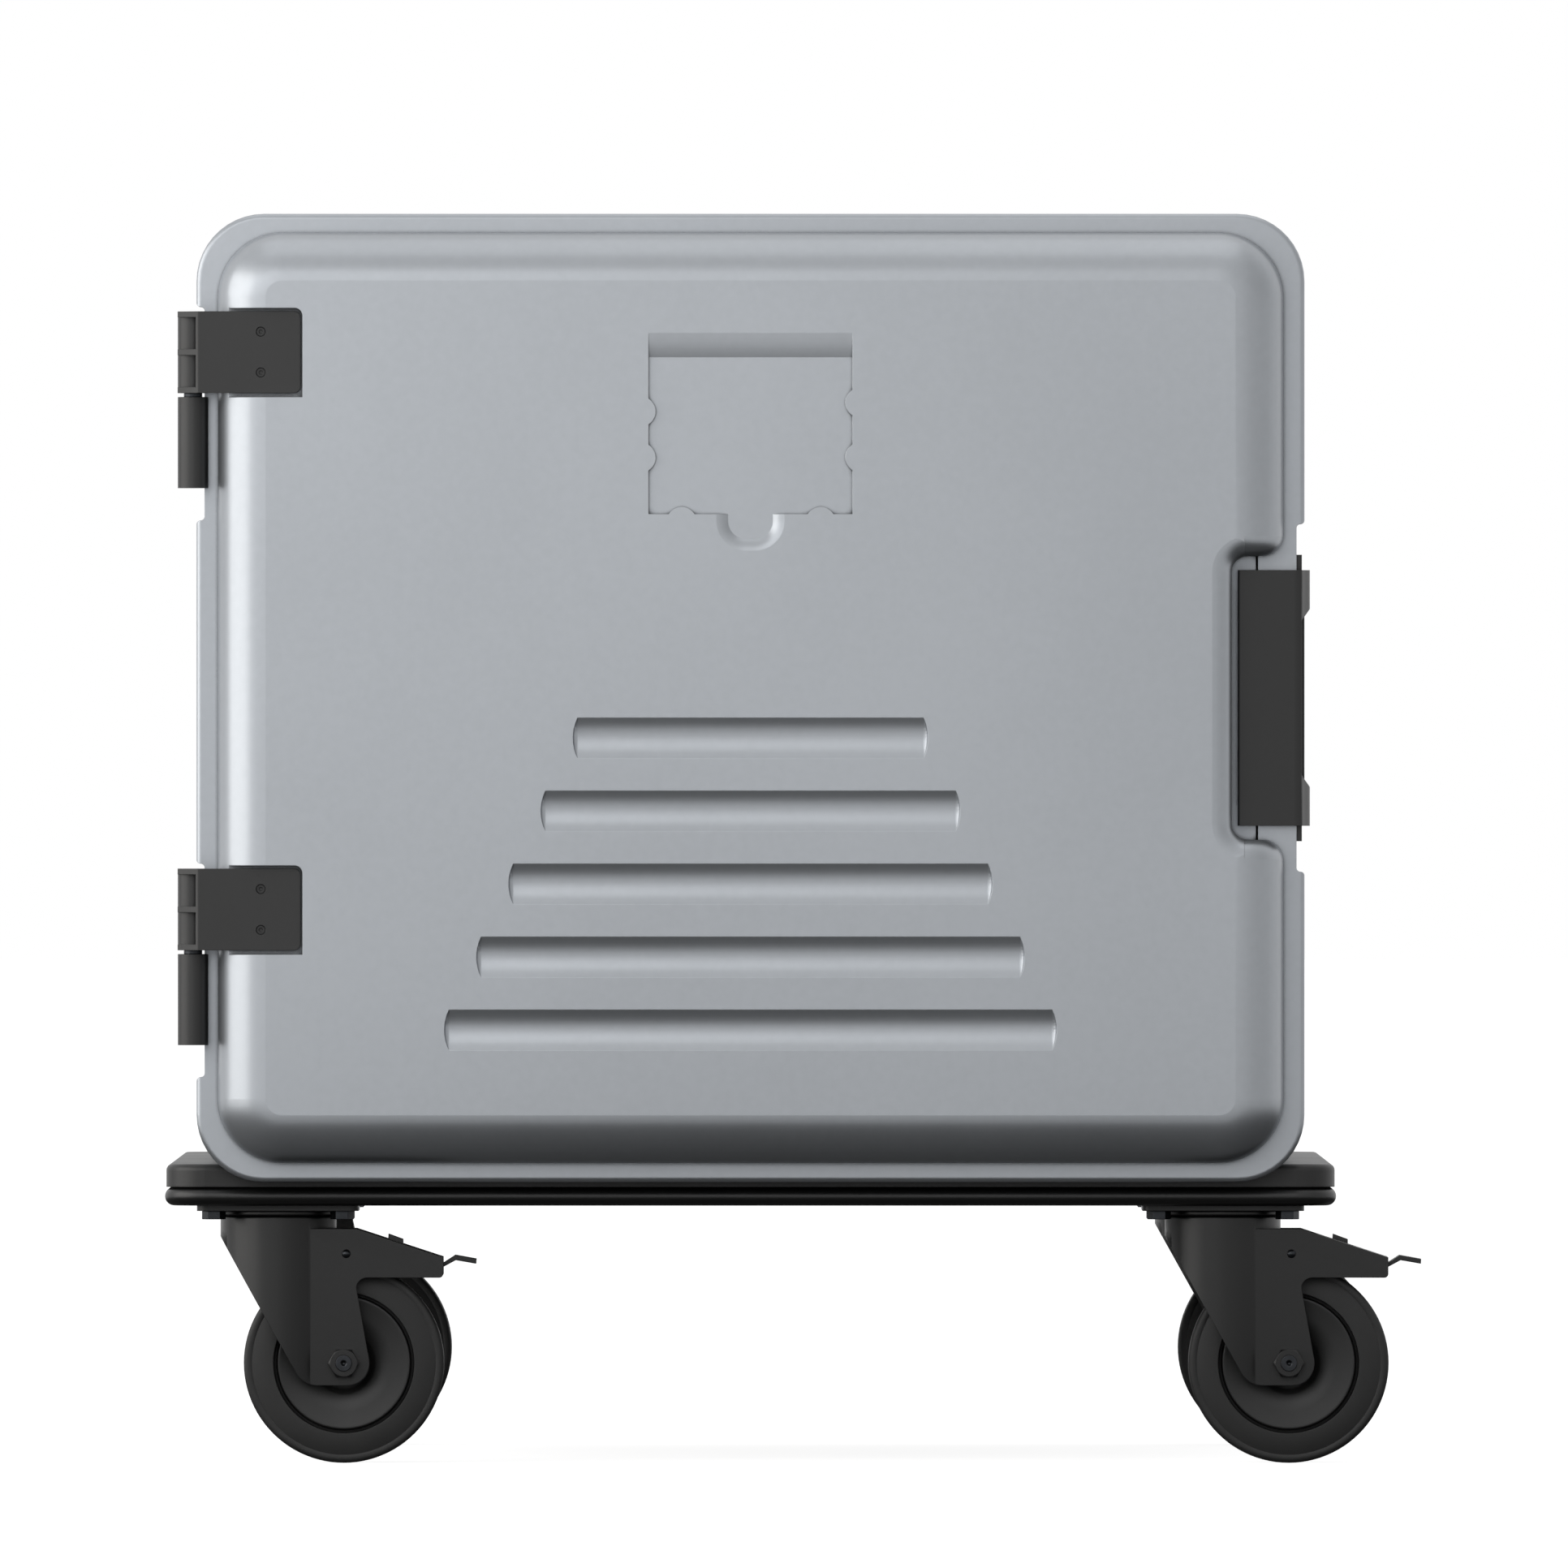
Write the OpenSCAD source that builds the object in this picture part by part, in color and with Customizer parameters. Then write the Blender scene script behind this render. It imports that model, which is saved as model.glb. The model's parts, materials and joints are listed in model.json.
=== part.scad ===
// Insulated meal tray cart: a front-loading moulded body that stands in a wheeled dolly.
// X runs across the cart, Y from the door to the back wall, Z up from the floor.

/* [Body] */
// Width of the moulded front rim
rim_w = 690; // [650:5:740]
// Height of the moulded front rim
rim_h = 603; // [570:1:650]
// Corner radius of the front rim
rim_r = 42; // [36:1:50]
// Depth of the front rim, front to back
rim_t = 26; // [20:1:34]
// Radius of the rim's front edge
rim_edge = 3; // [2:0.5:5]
// Radius of the rounded edge round the back of the body
back_edge = 30; // [20:1:34]
// How far the rim stands proud of the walls behind it
rim_step = 5; // [4:0.5:7]
// Thickness of the insulated side walls
side_wall = 60; // [50:1:70]
// Thickness of the insulated floor
floor_wall = 55; // [45:1:65]
// Thickness of the insulated roof
roof_wall = 50; // [40:1:60]
// Thickness of the insulated back wall
back_wall = 60; // [45:1:75]
// Thickness of each moulded plastic skin
skin = 4; // [3:0.5:5]
// Corner radius inside the tray cavity
cavity_r = 20; // [12:1:30]
// Width of the moulded hand hold in each side
grip_w = 170; // [120:5:220]
// Height of a hand hold
grip_h = 52; // [44:1:70]
// Corner radius of a hand hold
grip_r = 20; // [12:1:20]
// Depth of a hand hold
grip_depth = 26; // [18:1:30]
// Radius of the soft lip round a hand hold
grip_lip = 9; // [5:0.5:12]
// Height of the hand holds above the bottom of the body rim
grip_z = 440; // [300:5:480]
// Depth of the stepped seat that the door plug enters
rebate_d = 27; // [26:1:32]

/* [Trays] */
// Length of a tray, which lies across the cart
tray_w = 530; // [520:1:540]
// Width of a tray, front to back
tray_d = 370; // [325:5:400]
// Trays standing one behind the other on a runner
trays_deep = 2; // [1:1:2]
// Spare length of the cavity behind the trays
tray_spare = 12; // [5:1:40]
// How far a runner reaches under a tray
tray_bearing = 9; // [6:1:14]
// Height from one runner to the next
tray_pitch = 74; // [60:1:100]
// Thickness of a runner
runner_t = 6; // [4:1:8]

/* [Door] */
// Thickness of the door in front of the rim
door_t = 40; // [38:1:46]
// Corner radius of the door, seen from the front
door_r = 40; // [36:1:46]
// Radius of the rounded front edge of the door
door_edge = 30; // [26:1:32]
// Rim left bare beside the door
door_side_gap = 13.5; // [12:0.5:16]
// Rim left bare above and below the door
door_end_gap = 12; // [10:0.5:16]
// How far the door laps over the rim around the opening
door_lap = 15.5; // [13:0.5:18]
// Depth of the door plug inside the opening
plug_d = 22; // [18:0.5:22]
// Clearance all round the door plug
plug_gap = 1.2; // [1:0.1:2]
// Width of the rubber door seal
seal_w = 14; // [10:1:18]
// Gap between the door seal and its seat
seal_gap = 0.4; // [0.3:0.1:0.8]

/* [Grooves] */
// Number of grooves across the door
groove_count = 5; // [3:1:5]
// Height of a groove where it meets the face
groove_h = 25.4; // [18:0.2:30]
// Depth of a groove
groove_depth = 3; // [2:0.25:4]
// Distance from one groove to the next
groove_pitch = 45.4; // [36:0.2:50]
// Length of the topmost groove
groove_first = 221; // [160:1:260]
// How much longer each lower groove is
groove_growth = 40; // [20:1:50]
// Height of the middle of the lowest groove above the bottom of the body rim
groove_base = 95; // [80:1:110]

/* [Label pocket] */
// Width of the label pocket
label_w = 126.8; // [100:0.2:140]
// Height of the flat floor of the label pocket
label_h = 97.4; // [80:0.2:110]
// Depth of the label pocket
label_depth = 3; // [2:0.25:3.5]
// Length of the ramp above the label pocket
label_ramp = 16.7; // [10:0.1:22]
// Height of the pocket's lower edge above the bottom of the body rim
label_base = 415.8; // [390:0.2:430]
// Radius of the half-round tabs that hold a label
tab_r = 9.4; // [7:0.1:11]
// How far a tab reaches over the pocket
tab_reach = 4.5; // [3:0.1:6]
// Width of the finger notch under the pocket
notch_w = 27.8; // [20:0.2:36]
// Height of the finger notch
notch_h = 15.3; // [10:0.1:20]
// Corner radius of the finger notch
notch_r = 11; // [6:0.5:13]
// Width of the soft edge round the finger notch
notch_flare = 8; // [5:0.5:10]

/* [Hinges] */
// Distance of the hinge axis from the side of the rim
axis_out = 2; // [1:0.25:4]
// Distance of the hinge axis in front of the rim face
axis_front = 11; // [10:0.25:13]
// Height of a hinge leaf
leaf_h = 50.8; // [44:0.2:56]
// Thickness of a hinge leaf
leaf_t = 5; // [4:0.5:6]
// Reach of a hinge leaf over the door, from the hinge axis
leaf_reach = 67; // [58:0.5:74]
// Depth of the leaf's pocket below the door face
leaf_sink = 11; // [9:0.5:12]
// Height of the upper leaf's lower edge above the bottom of the body rim
leaf_base = 491.2; // [470:0.2:500]
// Distance from the upper hinge down to the lower one
hinge_spacing = 346.7; // [300:0.1:360]
// Radius of the barrels that turn on the hinge pin
barrel_r = 9.5; // [8.5:0.1:10]
// Height of the lower barrel, which is fixed to the body
barrel_h = 56.7; // [48:0.1:60]
// Height of the pin's collar between leaf and barrel
collar_h = 2.4; // [1.5:0.1:3]
// Diameter of the pin's collar
collar_d = 11.5; // [10:0.1:12]
// Diameter of the hinge pin
hinge_pin_d = 8; // [6:0.1:9]
// Radial clearance of every turning fit
run_gap = 0.05; // [0.02:0.01:0.1]

/* [Latch] */
// Height of the latch handle
handle_h = 159.2; // [140:0.2:170]
// Thickness of the latch handle's plate
handle_t = 5; // [4:0.25:5.5]
// Gap between the handle's plate and the rim face
handle_gap = 5; // [4:0.25:6]
// How far the handle's ears stand out from the body side
ear_out = 8.3; // [7.5:0.1:9]
// Thickness of an ear, measured sideways
ear_t = 3; // [2.5:0.25:3.25]
// Height of one ear
ear_h = 23.8; // [18:0.2:28]
// How far an ear reaches back along the body side
ear_reach = 30; // [22:1:36]
// Height of the keeper plate on the body side
keeper_h = 178.4; // [165:0.2:190]
// Thickness of the keeper plate
keeper_t = 3.4; // [2.5:0.1:3.6]
// Height of the raised block on the keeper
keeper_block_h = 103; // [80:1:106]
// How far the raised block stands out from the keeper plate
keeper_block_t = 1.6; // [1:0.1:3]
// Height of the recess in the door round the latch
recess_h = 176.6; // [170:0.2:185]
// Distance from the door's side to the recess wall
recess_in = 32.2; // [30:0.2:36]
// Depth of the recess floor behind the rim face
recess_floor = 4; // [3:0.25:6]
// Radius of the soft lip round the recess
recess_lip = 13; // [8:0.5:14]
// Corner radius of the recess
recess_r = 10; // [6:0.5:12]
// Diameter of the latch pin
latch_pin_d = 4; // [3:0.1:4.5]

/* [Dolly] */
// Thickness of the dolly deck
deck_t = 26; // [22:1:34]
// Depth of the well that the body stands in
well_depth = 6; // [4:0.5:10]
// Width of the dolly's border round the body
border_w = 24.4; // [20:0.2:32]
// Corner radius of the dolly, seen from above
deck_r = 24; // [16:1:30]
// Radius of the deck's upper edge
deck_edge = 4; // [2:0.5:6]
// Height of the bumper band
bumper_h = 11.6; // [8:0.2:14]
// How far the bumper band stands out from the deck
bumper_out = 0.9; // [0.5:0.1:3]
// Depth of the pockets under the deck
under_pocket = 9; // [4:1:12]

/* [Casters] */
// Height of a caster, floor to mounting face
caster_h = 161; // [150:1:175]
// Diameter of a wheel
wheel_d = 125; // [110:1:130]
// Width of a tyre
tyre_w = 40; // [34:1:44]
// Outer diameter of the wheel core
core_d = 88; // [76:1:94]
// How far a wheel trails behind its swivel axis
trail = 41; // [36:0.5:46]
// Side length of the caster plate, across the cart
plate_w = 101; // [96:1:110]
// Length of the caster plate, front to back
plate_d = 86; // [80:1:100]
// Thickness of the caster plate
plate_t = 3.5; // [3:0.25:5]
// Distance of the caster plate from the edge of the deck
plate_inset = 19; // [12:0.5:30]
// Outer diameter of the fork's round neck
neck_d = 72.4; // [68:0.2:76]
// Thickness of the fork's pressed steel
fork_t = 3.2; // [2.5:0.1:4]
// Width over the flat cheeks of the fork
fork_w = 60; // [56:0.5:62]
// Diameter of the axle bolt
axle_d = 10; // [8:0.5:11]
// Width across the flats of the axle nut
axle_af = 17; // [15:0.5:19]
// Diameter of the kingpin
kingpin_d = 12; // [10:0.5:16]
// Distance between bolt holes across the caster plate
bolt_dx = 80; // [76:0.5:84]
// Distance between bolt holes along the caster plate
bolt_dy = 60; // [56:0.5:66]
// Diameter of the caster bolts
bolt_d = 8; // [6:0.5:9]

/* [Brake] */
// Distance of the pedal's pin beyond the swivel axis
pedal_pin_x = 42.6; // [40:0.2:45]
// Height of the pedal's pin above the tyre
pedal_pin_up = 5.7; // [5.2:0.1:8]
// Diameter of the pedal's pin
pedal_pin_d = 4; // [3:0.1:5]
// Width of the brake pedal
pedal_w = 36; // [28:1:44]
// Thickness of the pedal's steel
pedal_t = 2.6; // [2:0.1:3]
// Gap between the brake shoe and the tyre when it is off
shoe_gap = 4.7; // [4.6:0.1:5.5]

/* [Hidden] */
$fn = 64;
corners = ["front_left", "front_right", "rear_left", "rear_right"];
levels = ["upper", "lower"];
caster_parts = ["caster_plate", "ball_race", "fork", "axle_bolt", "axle_nut", "wheel_core", "tyre"];
brake_parts = ["brake_pedal", "brake_pin"];
braked_corners = 2;

// Clearance between two pieces that are moulded or pressed together
fit = 0.2;
// Overcut that lets one solid cut cleanly through another
eps = 1;
// Gap between a moving face and a curved face beside it
clear = 0.3;
// Depth of a soft lip as a share of its width
lip_drop = 0.8;

// Body
barrel_w = rim_w - 2 * rim_step;
barrel_h_out = rim_h - 2 * rim_step;
barrel_r_out = rim_r - rim_step;
barrel_z = caster_h + deck_t - well_depth;
body_z = barrel_z + barrel_h_out / 2;
rim_z = body_z - rim_h / 2;
cavity_w = barrel_w - 2 * side_wall;
cavity_h = barrel_h_out - floor_wall - roof_wall;
cavity_z = barrel_z + floor_wall + cavity_h / 2;
cavity_end = rebate_d + trays_deep * tray_d + tray_spare;
body_d = cavity_end + back_wall;
open_w = rim_w - 2 * (door_side_gap + door_lap);
open_h = rim_h - 2 * (door_end_gap + door_lap);
open_r = door_r - door_lap;
runner_w = (cavity_w - tray_w) / 2 + tray_bearing;
runner_front = rebate_d + 8;
runner_first = 30;
runner_count = floor((cavity_h - runner_first - tray_pitch * 0.6) / tray_pitch) + 1;
notch_over = 3;
notch_under = 20;
anchor_t = 14;

// Door
door_w = rim_w - 2 * door_side_gap;
door_h = rim_h - 2 * door_end_gap;
plug_w = open_w - 2 * plug_gap;
plug_h = open_h - 2 * plug_gap;
plug_r = open_r - plug_gap;
plug_split = recess_floor + skin + 1;
groove_r = (pow(groove_h / 2, 2) + pow(groove_depth, 2)) / (2 * groove_depth);
label_z = rim_z + label_base;
label_tabs = [[-1, 63.8], [-1, 35.1], [1, 69.3], [1, 35.3]];
label_foot_tabs = [-42.8, 43.6];

// Hinges
axis_x = -rim_w / 2 - axis_out;
axis_y = -axis_front;
leaf_z = [rim_z + leaf_base, rim_z + leaf_base - hinge_spacing];
leaf_front = -door_t + leaf_sink - leaf_t;
leaf_left = axis_x + 4.5;
leaf_end = axis_x + leaf_reach;
rib_t = 3.6;
leaf_pocket_top = 2;
leaf_pocket_foot = 2.7;
leaf_pocket_end = 1.4;
leaf_screw_x = axis_x + 42.4;
leaf_screw_z = [0.25, 0.75];
leaf_screw_d = 6;
bracket_t = 4;
bracket_reach = 92;
bracket_screw_y = [34, 74];
screw_d = 4;
screw_len = 9;

// Latch
recess_left = door_w / 2 - recess_in;
recess_w = recess_in + 40;
side_lip_from = 5.6;
latch_x = recess_left + 8.7;
latch_y = recess_floor - 7;
handle_front = -handle_gap - handle_t;
handle_left = recess_left + 4;
side_x = barrel_w / 2;
ear_x = side_x + ear_out;
handle_corner = 10;
keeper_front = recess_floor;
keeper_depth = 40;
latch_knuckle_r = 4.4;
latch_knuckles = 5;
mount_t = 2;

// Dolly
deck_half = side_x + border_w;
deck_front = rim_t + 2;
deck_back = body_d + border_w;
deck_top = caster_h + deck_t;
deck_depth = deck_back - deck_front;
deck_mid_y = (deck_front + deck_back) / 2;
bumper_r = bumper_h / 2;
well_gap = 0.5;
caster_x = deck_half - plate_inset - plate_w / 2;
caster_y = deck_depth / 2 - plate_inset - plate_d / 2;

// Casters
wheel_r = wheel_d / 2;
fork_top = caster_h - plate_t - 3.2;
race_gap = clear;
cheek_top = fork_top - 8;
housing_end = 103.1;
slope_start = 49;
slope_end_z = wheel_d + 3.5;
pedal_pin_z = wheel_d + pedal_pin_up;
bolt_len = 17;
nut_t = 8;
head_t = 6.4;
rivet_head_t = 3;
bolt_head_af = 13;
bolt_head_t = 5.3;

// The model's origin is the middle of its box, on the floor
pedal_tip = 123.8;
door_front = -door_t;
bumper_half = deck_half + bumper_out;
box_left = -bumper_half;
box_right = max(bumper_half, caster_x + pedal_tip);
box_back = deck_back + bumper_out;
origin_x = (box_left + box_right) / 2;
origin_y = (door_front + box_back) / 2;

body_grey = [0.68, 0.70, 0.72];
liner_grey = [0.74, 0.75, 0.76];
foam_cream = [0.90, 0.86, 0.70];
black_plastic = [0.16, 0.16, 0.17];
black_rubber = [0.12, 0.12, 0.12];
coated_steel = [0.20, 0.20, 0.21];
bare_steel = [0.62, 0.63, 0.65];

// ---- Helpers ----

module placed() translate([-origin_x, -origin_y, 0]) children();

// Extrudes an outline drawn in X and Z from y0 back to y1
module slab(y0, y1) translate([0, y1, 0]) rotate([90, 0, 0]) linear_extrude(y1 - y0) children();

// Turns an outline in X and Z, with its axis of rotation on X = 0, round a line along Y
module spun_y() rotate([90, 0, 0]) children();

module rounded(w, h, r) {
    square([w - 2 * r, h], center = true);
    square([w, h - 2 * r], center = true);
    for (x = [-1, 1], y = [-1, 1])
        translate([x * (w / 2 - r), y * (h / 2 - r)])
            circle(r);
}

function arc(cx, cy, r, from, to, steps = 8) =
    [for (i = [0:steps]) let (a = from + (to - from) * i / steps) [cx + r * cos(a), cy + r * sin(a)]];

// Half of a section through a slab whose front edge is rounded: x outwards, y towards the back
module edge_section(half, depth, edge) difference() {
    square([half, depth]);
    difference() {
        translate([half - edge, -eps])
            square([edge + eps, edge + eps]);
        translate([half - edge, edge])
            circle(edge);
    }
}

// Rounded slab with a rounded front edge, from y0 back to y1, centred on X and Z
module pillow(w, h, r, edge, y0, y1) {
    depth = y1 - y0;
    translate([-w / 2 + r, y0, -h / 2 + r])
        cube([w - 2 * r, depth, h - 2 * r]);
    for (side = [0, 1])
        mirror([side, 0, 0])
            translate([w / 2 - r, y0, -h / 2 + r])
                linear_extrude(h - 2 * r)
                    edge_section(r, depth, edge);
    for (side = [0, 1])
        mirror([0, 0, side])
            translate([-w / 2 + r, y0, h / 2 - r])
                rotate([90, 0, 90])
                    linear_extrude(w - 2 * r)
                        rotate(90) mirror([0, 1])
                            edge_section(r, depth, edge);
    for (x = [0, 1], z = [0, 1])
        mirror([x, 0, 0])
            mirror([0, 0, z])
                translate([w / 2 - r, y0, h / 2 - r])
                    rotate([-90, -90, 0])
                        rotate_extrude(angle = 90)
                            edge_section(r, depth, edge);
}

module bore(d, h) translate([0, 0, -eps]) cylinder(d = d, h = h + 2 * eps);

module hex(af, h) cylinder(d = af / cos(30), h = h, $fn = 6);

// Section of a soft lip: it leaves the face at x = w and drops to depth d at x = 0,
// where it meets a wall, or a little before that a floor at depth d
module lip_section(w, d, floored = false) {
    drop = d + (floored ? 0.07 : 0.02);
    lip_r = (w * w + drop * drop) / (2 * drop);
    difference() {
        translate([-eps, -eps])
            square([w + eps, floored ? d + eps : d + 2 * eps]);
        translate([w, lip_r - 0.02])
            circle(lip_r);
    }
}

// Cutter for the softened mouth round a recess, in a face at y = 0 that looks towards -Y
module soft_mouth(w, h, r, lip_w, lip_d, floored = false) {
    for (side = [0, 1])
        mirror([side, 0, 0])
            translate([w / 2, 0, -h / 2 + r])
                linear_extrude(h - 2 * r)
                    lip_section(lip_w, lip_d, floored);
    for (side = [0, 1])
        mirror([0, 0, side])
            translate([-w / 2 + r, 0, h / 2])
                rotate([90, 0, 90])
                    linear_extrude(w - 2 * r)
                        rotate(90) mirror([0, 1])
                            lip_section(lip_w, lip_d, floored);
    for (x = [0, 1], z = [0, 1])
        mirror([x, 0, 0])
            mirror([0, 0, z])
                translate([w / 2 - r, 0, h / 2 - r])
                    rotate([-90, -90, 0])
                        rotate_extrude(angle = 90)
                            translate([r, 0])
                                lip_section(lip_w, lip_d, floored);
}

// ---- Body ----

// The body behind its rim, grown or drawn in, with its back edge rounded
module body_form(grow, y0, y1)
    translate([0, 0, body_z])
        mirror([0, 1, 0])
            pillow(barrel_w + 2 * grow, barrel_h_out + 2 * grow, barrel_r_out + grow, back_edge + grow, -y1, -y0);

module opening_form(grow, y0, y1)
    translate([0, 0, body_z])
        slab(y0, y1)
            rounded(open_w + 2 * grow, open_h + 2 * grow, open_r + grow);

module cavity_form(grow, y0, y1)
    translate([0, 0, cavity_z])
        slab(y0, y1)
            rounded(cavity_w + 2 * grow, cavity_h + 2 * grow, cavity_r + grow);

// Shallow relief in the rim's side, from z0 up to z1, on side -1 or 1, with softly curved ends
module rim_notch(side, z0, z1) {
    bend = rim_step / 2;
    mirror([side < 0 ? 1 : 0, 0, 0])
        slab(-eps, rim_t + eps)
            translate([side_x, (z0 + z1) / 2]) {
                translate([bend, -(z1 - z0) / 2])
                    square([rim_step, z1 - z0]);
                translate([0, -(z1 - z0) / 2 + bend])
                    square([rim_step, z1 - z0 - 2 * bend]);
                for (end = [0, 1])
                    mirror([0, end])
                        translate([bend, (z1 - z0) / 2]) {
                            translate([0, -bend])
                                circle(bend);
                            difference() {
                                square([bend + eps, bend]);
                                translate([0, bend])
                                    circle(bend);
                            }
                        }
            }
}

latch_notch_h = keeper_h + 38;

module rim_notches() {
    for (z = leaf_z)
        rim_notch(-1, z - collar_h - barrel_h - notch_under, z + leaf_h + notch_over);
    rim_notch(1, body_z - latch_notch_h / 2, body_z + latch_notch_h / 2);
}

// Thick places inside the skin that the screws bite into
module side_anchors() {
    for (z = leaf_z)
        translate([-side_x, bracket_screw_y[0] - 12, z - collar_h - barrel_h + 2])
            cube([anchor_t, bracket_screw_y[1] - bracket_screw_y[0] + 24, barrel_h - 4]);
    translate([side_x - anchor_t, keeper_front + 10, body_z - keeper_h / 2 + 4])
        cube([anchor_t, keeper_depth - 12, keeper_h - 8]);
}

// Room for a hand in each side wall, and with a positive growth the skin behind it
module hand_holds(grow)
    for (side = [-1, 1])
        translate([side * side_x, (rim_t + body_d) / 2, rim_z + grip_z])
            rotate([0, 0, side * 90]) {
                slab(-eps, grip_depth + grow)
                    rounded(grip_w + 2 * grow, grip_h + 2 * grow, grip_r + grow);
                if (grow == 0)
                    soft_mouth(grip_w, grip_h, grip_r, grip_lip, lip_drop * grip_lip);
                else
                    slab(-eps, grip_lip + grow)
                        rounded(grip_w + 2 * (grip_lip + grow), grip_h + 2 * (grip_lip + grow), grip_r + grip_lip + grow);
            }

module outer_shell() color(body_grey) difference() {
    union() {
        intersection() {
            hand_holds(skin);
            body_form(-skin / 2, skin / 2, body_d - skin);
        }
        difference() {
            union() {
                translate([0, 0, body_z])
                    pillow(rim_w, rim_h, rim_r, rim_edge, 0, rim_t);
                body_form(0, rim_edge, body_d);
            }
            body_form(-skin, skin, body_d - skin);
            opening_form(0, -eps, skin + eps);
        }
        intersection() {
            side_anchors();
            body_form(-skin / 2, skin / 2, body_d - skin);
        }
    }
    hand_holds(0);
    rim_notches();
    bracket_screw_holes();
    keeper_screw_holes();
}

module liner_outside(grow) {
    opening_form(skin + grow, skin - grow, rebate_d + skin + grow);
    cavity_form(skin + grow, rebate_d, cavity_end + skin + grow);
}

module runners() {
    for (side = [-1, 1], i = [0:runner_count - 1])
        translate([
            side * (cavity_w / 2 - runner_w / 2 + skin / 2),
            (runner_front + cavity_end) / 2,
            cavity_z - cavity_h / 2 + runner_first + i * tray_pitch
        ])
            cube([runner_w + skin, cavity_end - runner_front + skin, runner_t], center = true);
}

module inner_liner() color(liner_grey) {
    difference() {
        liner_outside(0);
        opening_form(0, 0, rebate_d);
        cavity_form(0, rebate_d - eps, cavity_end);
    }
    intersection() {
        runners();
        cavity_form(skin / 2, rebate_d, cavity_end + skin / 2);
    }
}

module wall_foam() color(foam_cream) difference() {
    body_form(-skin - fit, skin + fit, body_d - skin - fit);
    liner_outside(fit);
    opening_form(skin + fit, 0, rebate_d);
    hand_holds(skin + fit);
    anchor_room();
}

// The anchors with room round them, for the foam
module anchor_room() {
    for (z = leaf_z)
        translate([-side_x - fit, bracket_screw_y[0] - 12 - fit, z - collar_h - barrel_h + 2 - fit])
            cube([
                anchor_t + 2 * fit,
                bracket_screw_y[1] - bracket_screw_y[0] + 24 + 2 * fit,
                barrel_h - 4 + 2 * fit
            ]);
    translate([side_x - anchor_t - fit, keeper_front + 10 - fit, body_z - keeper_h / 2 + 4 - fit])
        cube([anchor_t + 2 * fit, keeper_depth - 12 + 2 * fit, keeper_h - 8 + 2 * fit]);
}

// ---- Door ----

module door_form(inset)
    translate([0, 0, body_z])
        pillow(door_w - 2 * inset, door_h - 2 * inset, door_r - inset, door_edge - inset,
            door_front + inset, -inset);

module plug_form(inset, y0, y1)
    translate([0, 0, body_z])
        slab(y0, y1)
            rounded(plug_w - 2 * inset, plug_h - 2 * inset, plug_r - inset);

// One scooped groove of the given length, grown outwards by a wall thickness
module groove(length, grow) {
    centre_y = door_front + groove_depth - groove_r;
    straight = length - 2 * groove_depth;
    translate([-straight / 2, centre_y, 0])
        rotate([0, 90, 0])
            cylinder(r = groove_r + grow, h = straight);
    for (side = [-1, 1])
        translate([side * straight / 2, door_front, 0])
            rotate_extrude()
                intersection() {
                    translate([groove_depth - groove_r, 0])
                        circle(groove_r + grow);
                    translate([0, -groove_r])
                        square([groove_r, 2 * groove_r]);
                }
}

module grooves(grow)
    for (i = [0:groove_count - 1])
        translate([0, 0, rim_z + groove_base + (groove_count - 1 - i) * groove_pitch])
            groove(groove_first + i * groove_growth, grow);

module label_tab(x, z)
    translate([x, 0, z])
        spun_y()
            cylinder(r = tab_r, h = 2 * door_t, center = true);

module label_pocket() {
    difference() {
        translate([-label_w / 2, door_front - eps, label_z])
            cube([label_w, label_depth + eps, label_h]);
        for (tab = label_tabs)
            label_tab(tab[0] * (label_w / 2 + tab_r - tab_reach), label_z + tab[1]);
        for (x = label_foot_tabs)
            label_tab(x, label_z - tab_r + tab_reach);
    }
    translate([-label_w / 2, door_front, label_z + label_h])
        rotate([90, 0, 90])
            linear_extrude(label_w)
                rotate(90) mirror([0, 1])
                    lip_section(label_ramp, label_depth, true);
    translate([0, door_front, label_z - notch_h + notch_w]) {
        soft_mouth(notch_w, 2 * notch_w, notch_r, notch_flare, label_depth, true);
        slab(-eps, label_depth)
            rounded(notch_w, 2 * notch_w, notch_r);
    }
}

module latch_recess() {
    translate([recess_left + recess_w / 2, 0, body_z]) {
        slab(door_front - eps, recess_floor)
            rounded(recess_w, recess_h, recess_r);
        translate([0, door_front, 0])
            soft_mouth(recess_w, recess_h, recess_r, recess_lip, lip_drop * recess_lip);
    }
    for (side = [0, 1])
        translate([door_w / 2 - door_edge, door_front + door_edge, body_z])
            mirror([0, 0, side])
                translate([0, 0, recess_h / 2])
                    recess_side_lip();
}

// The recess's soft lip where it runs round the door's rounded side, above its middle line
module recess_side_lip() {
    intersection() {
        rotate(-90)
            rotate_extrude(angle = 90)
                side_lip_section();
        translate([side_lip_from, -2 * door_edge, -2 * eps])
            cube([2 * door_edge, 3 * door_edge, recess_lip + 4 * eps]);
    }
    slab(0, door_t - door_edge + eps)
        side_lip_section();
}

module side_lip_section()
    translate([door_edge, 0])
        rotate(90)
            lip_section(recess_lip, lip_drop * recess_lip);

module latch_recess_wall(grow)
    translate([recess_left + recess_w / 2, 0, body_z])
        slab(door_front - grow, recess_floor + skin + grow)
            square([recess_w + 2 * (recess_lip + skin + grow), recess_h + 2 * (recess_lip + skin + grow)],
                center = true);

module leaf_pockets() {
    for (z = leaf_z)
        translate([leaf_end + leaf_pocket_end - 100, 0, z - leaf_pocket_foot])
            slab(door_front - eps, door_front + leaf_sink)
                leaf_pocket_outline(100, leaf_h + leaf_pocket_top + leaf_pocket_foot, 5);
}

module leaf_pocket_outline(w, h, r) {
    square([w - r, h]);
    square([w, h - r]);
    translate([0, r])
        square([w, h - 2 * r]);
    translate([w - r, h - r])
        circle(r);
    translate([w - r, r])
        circle(r);
}

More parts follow.
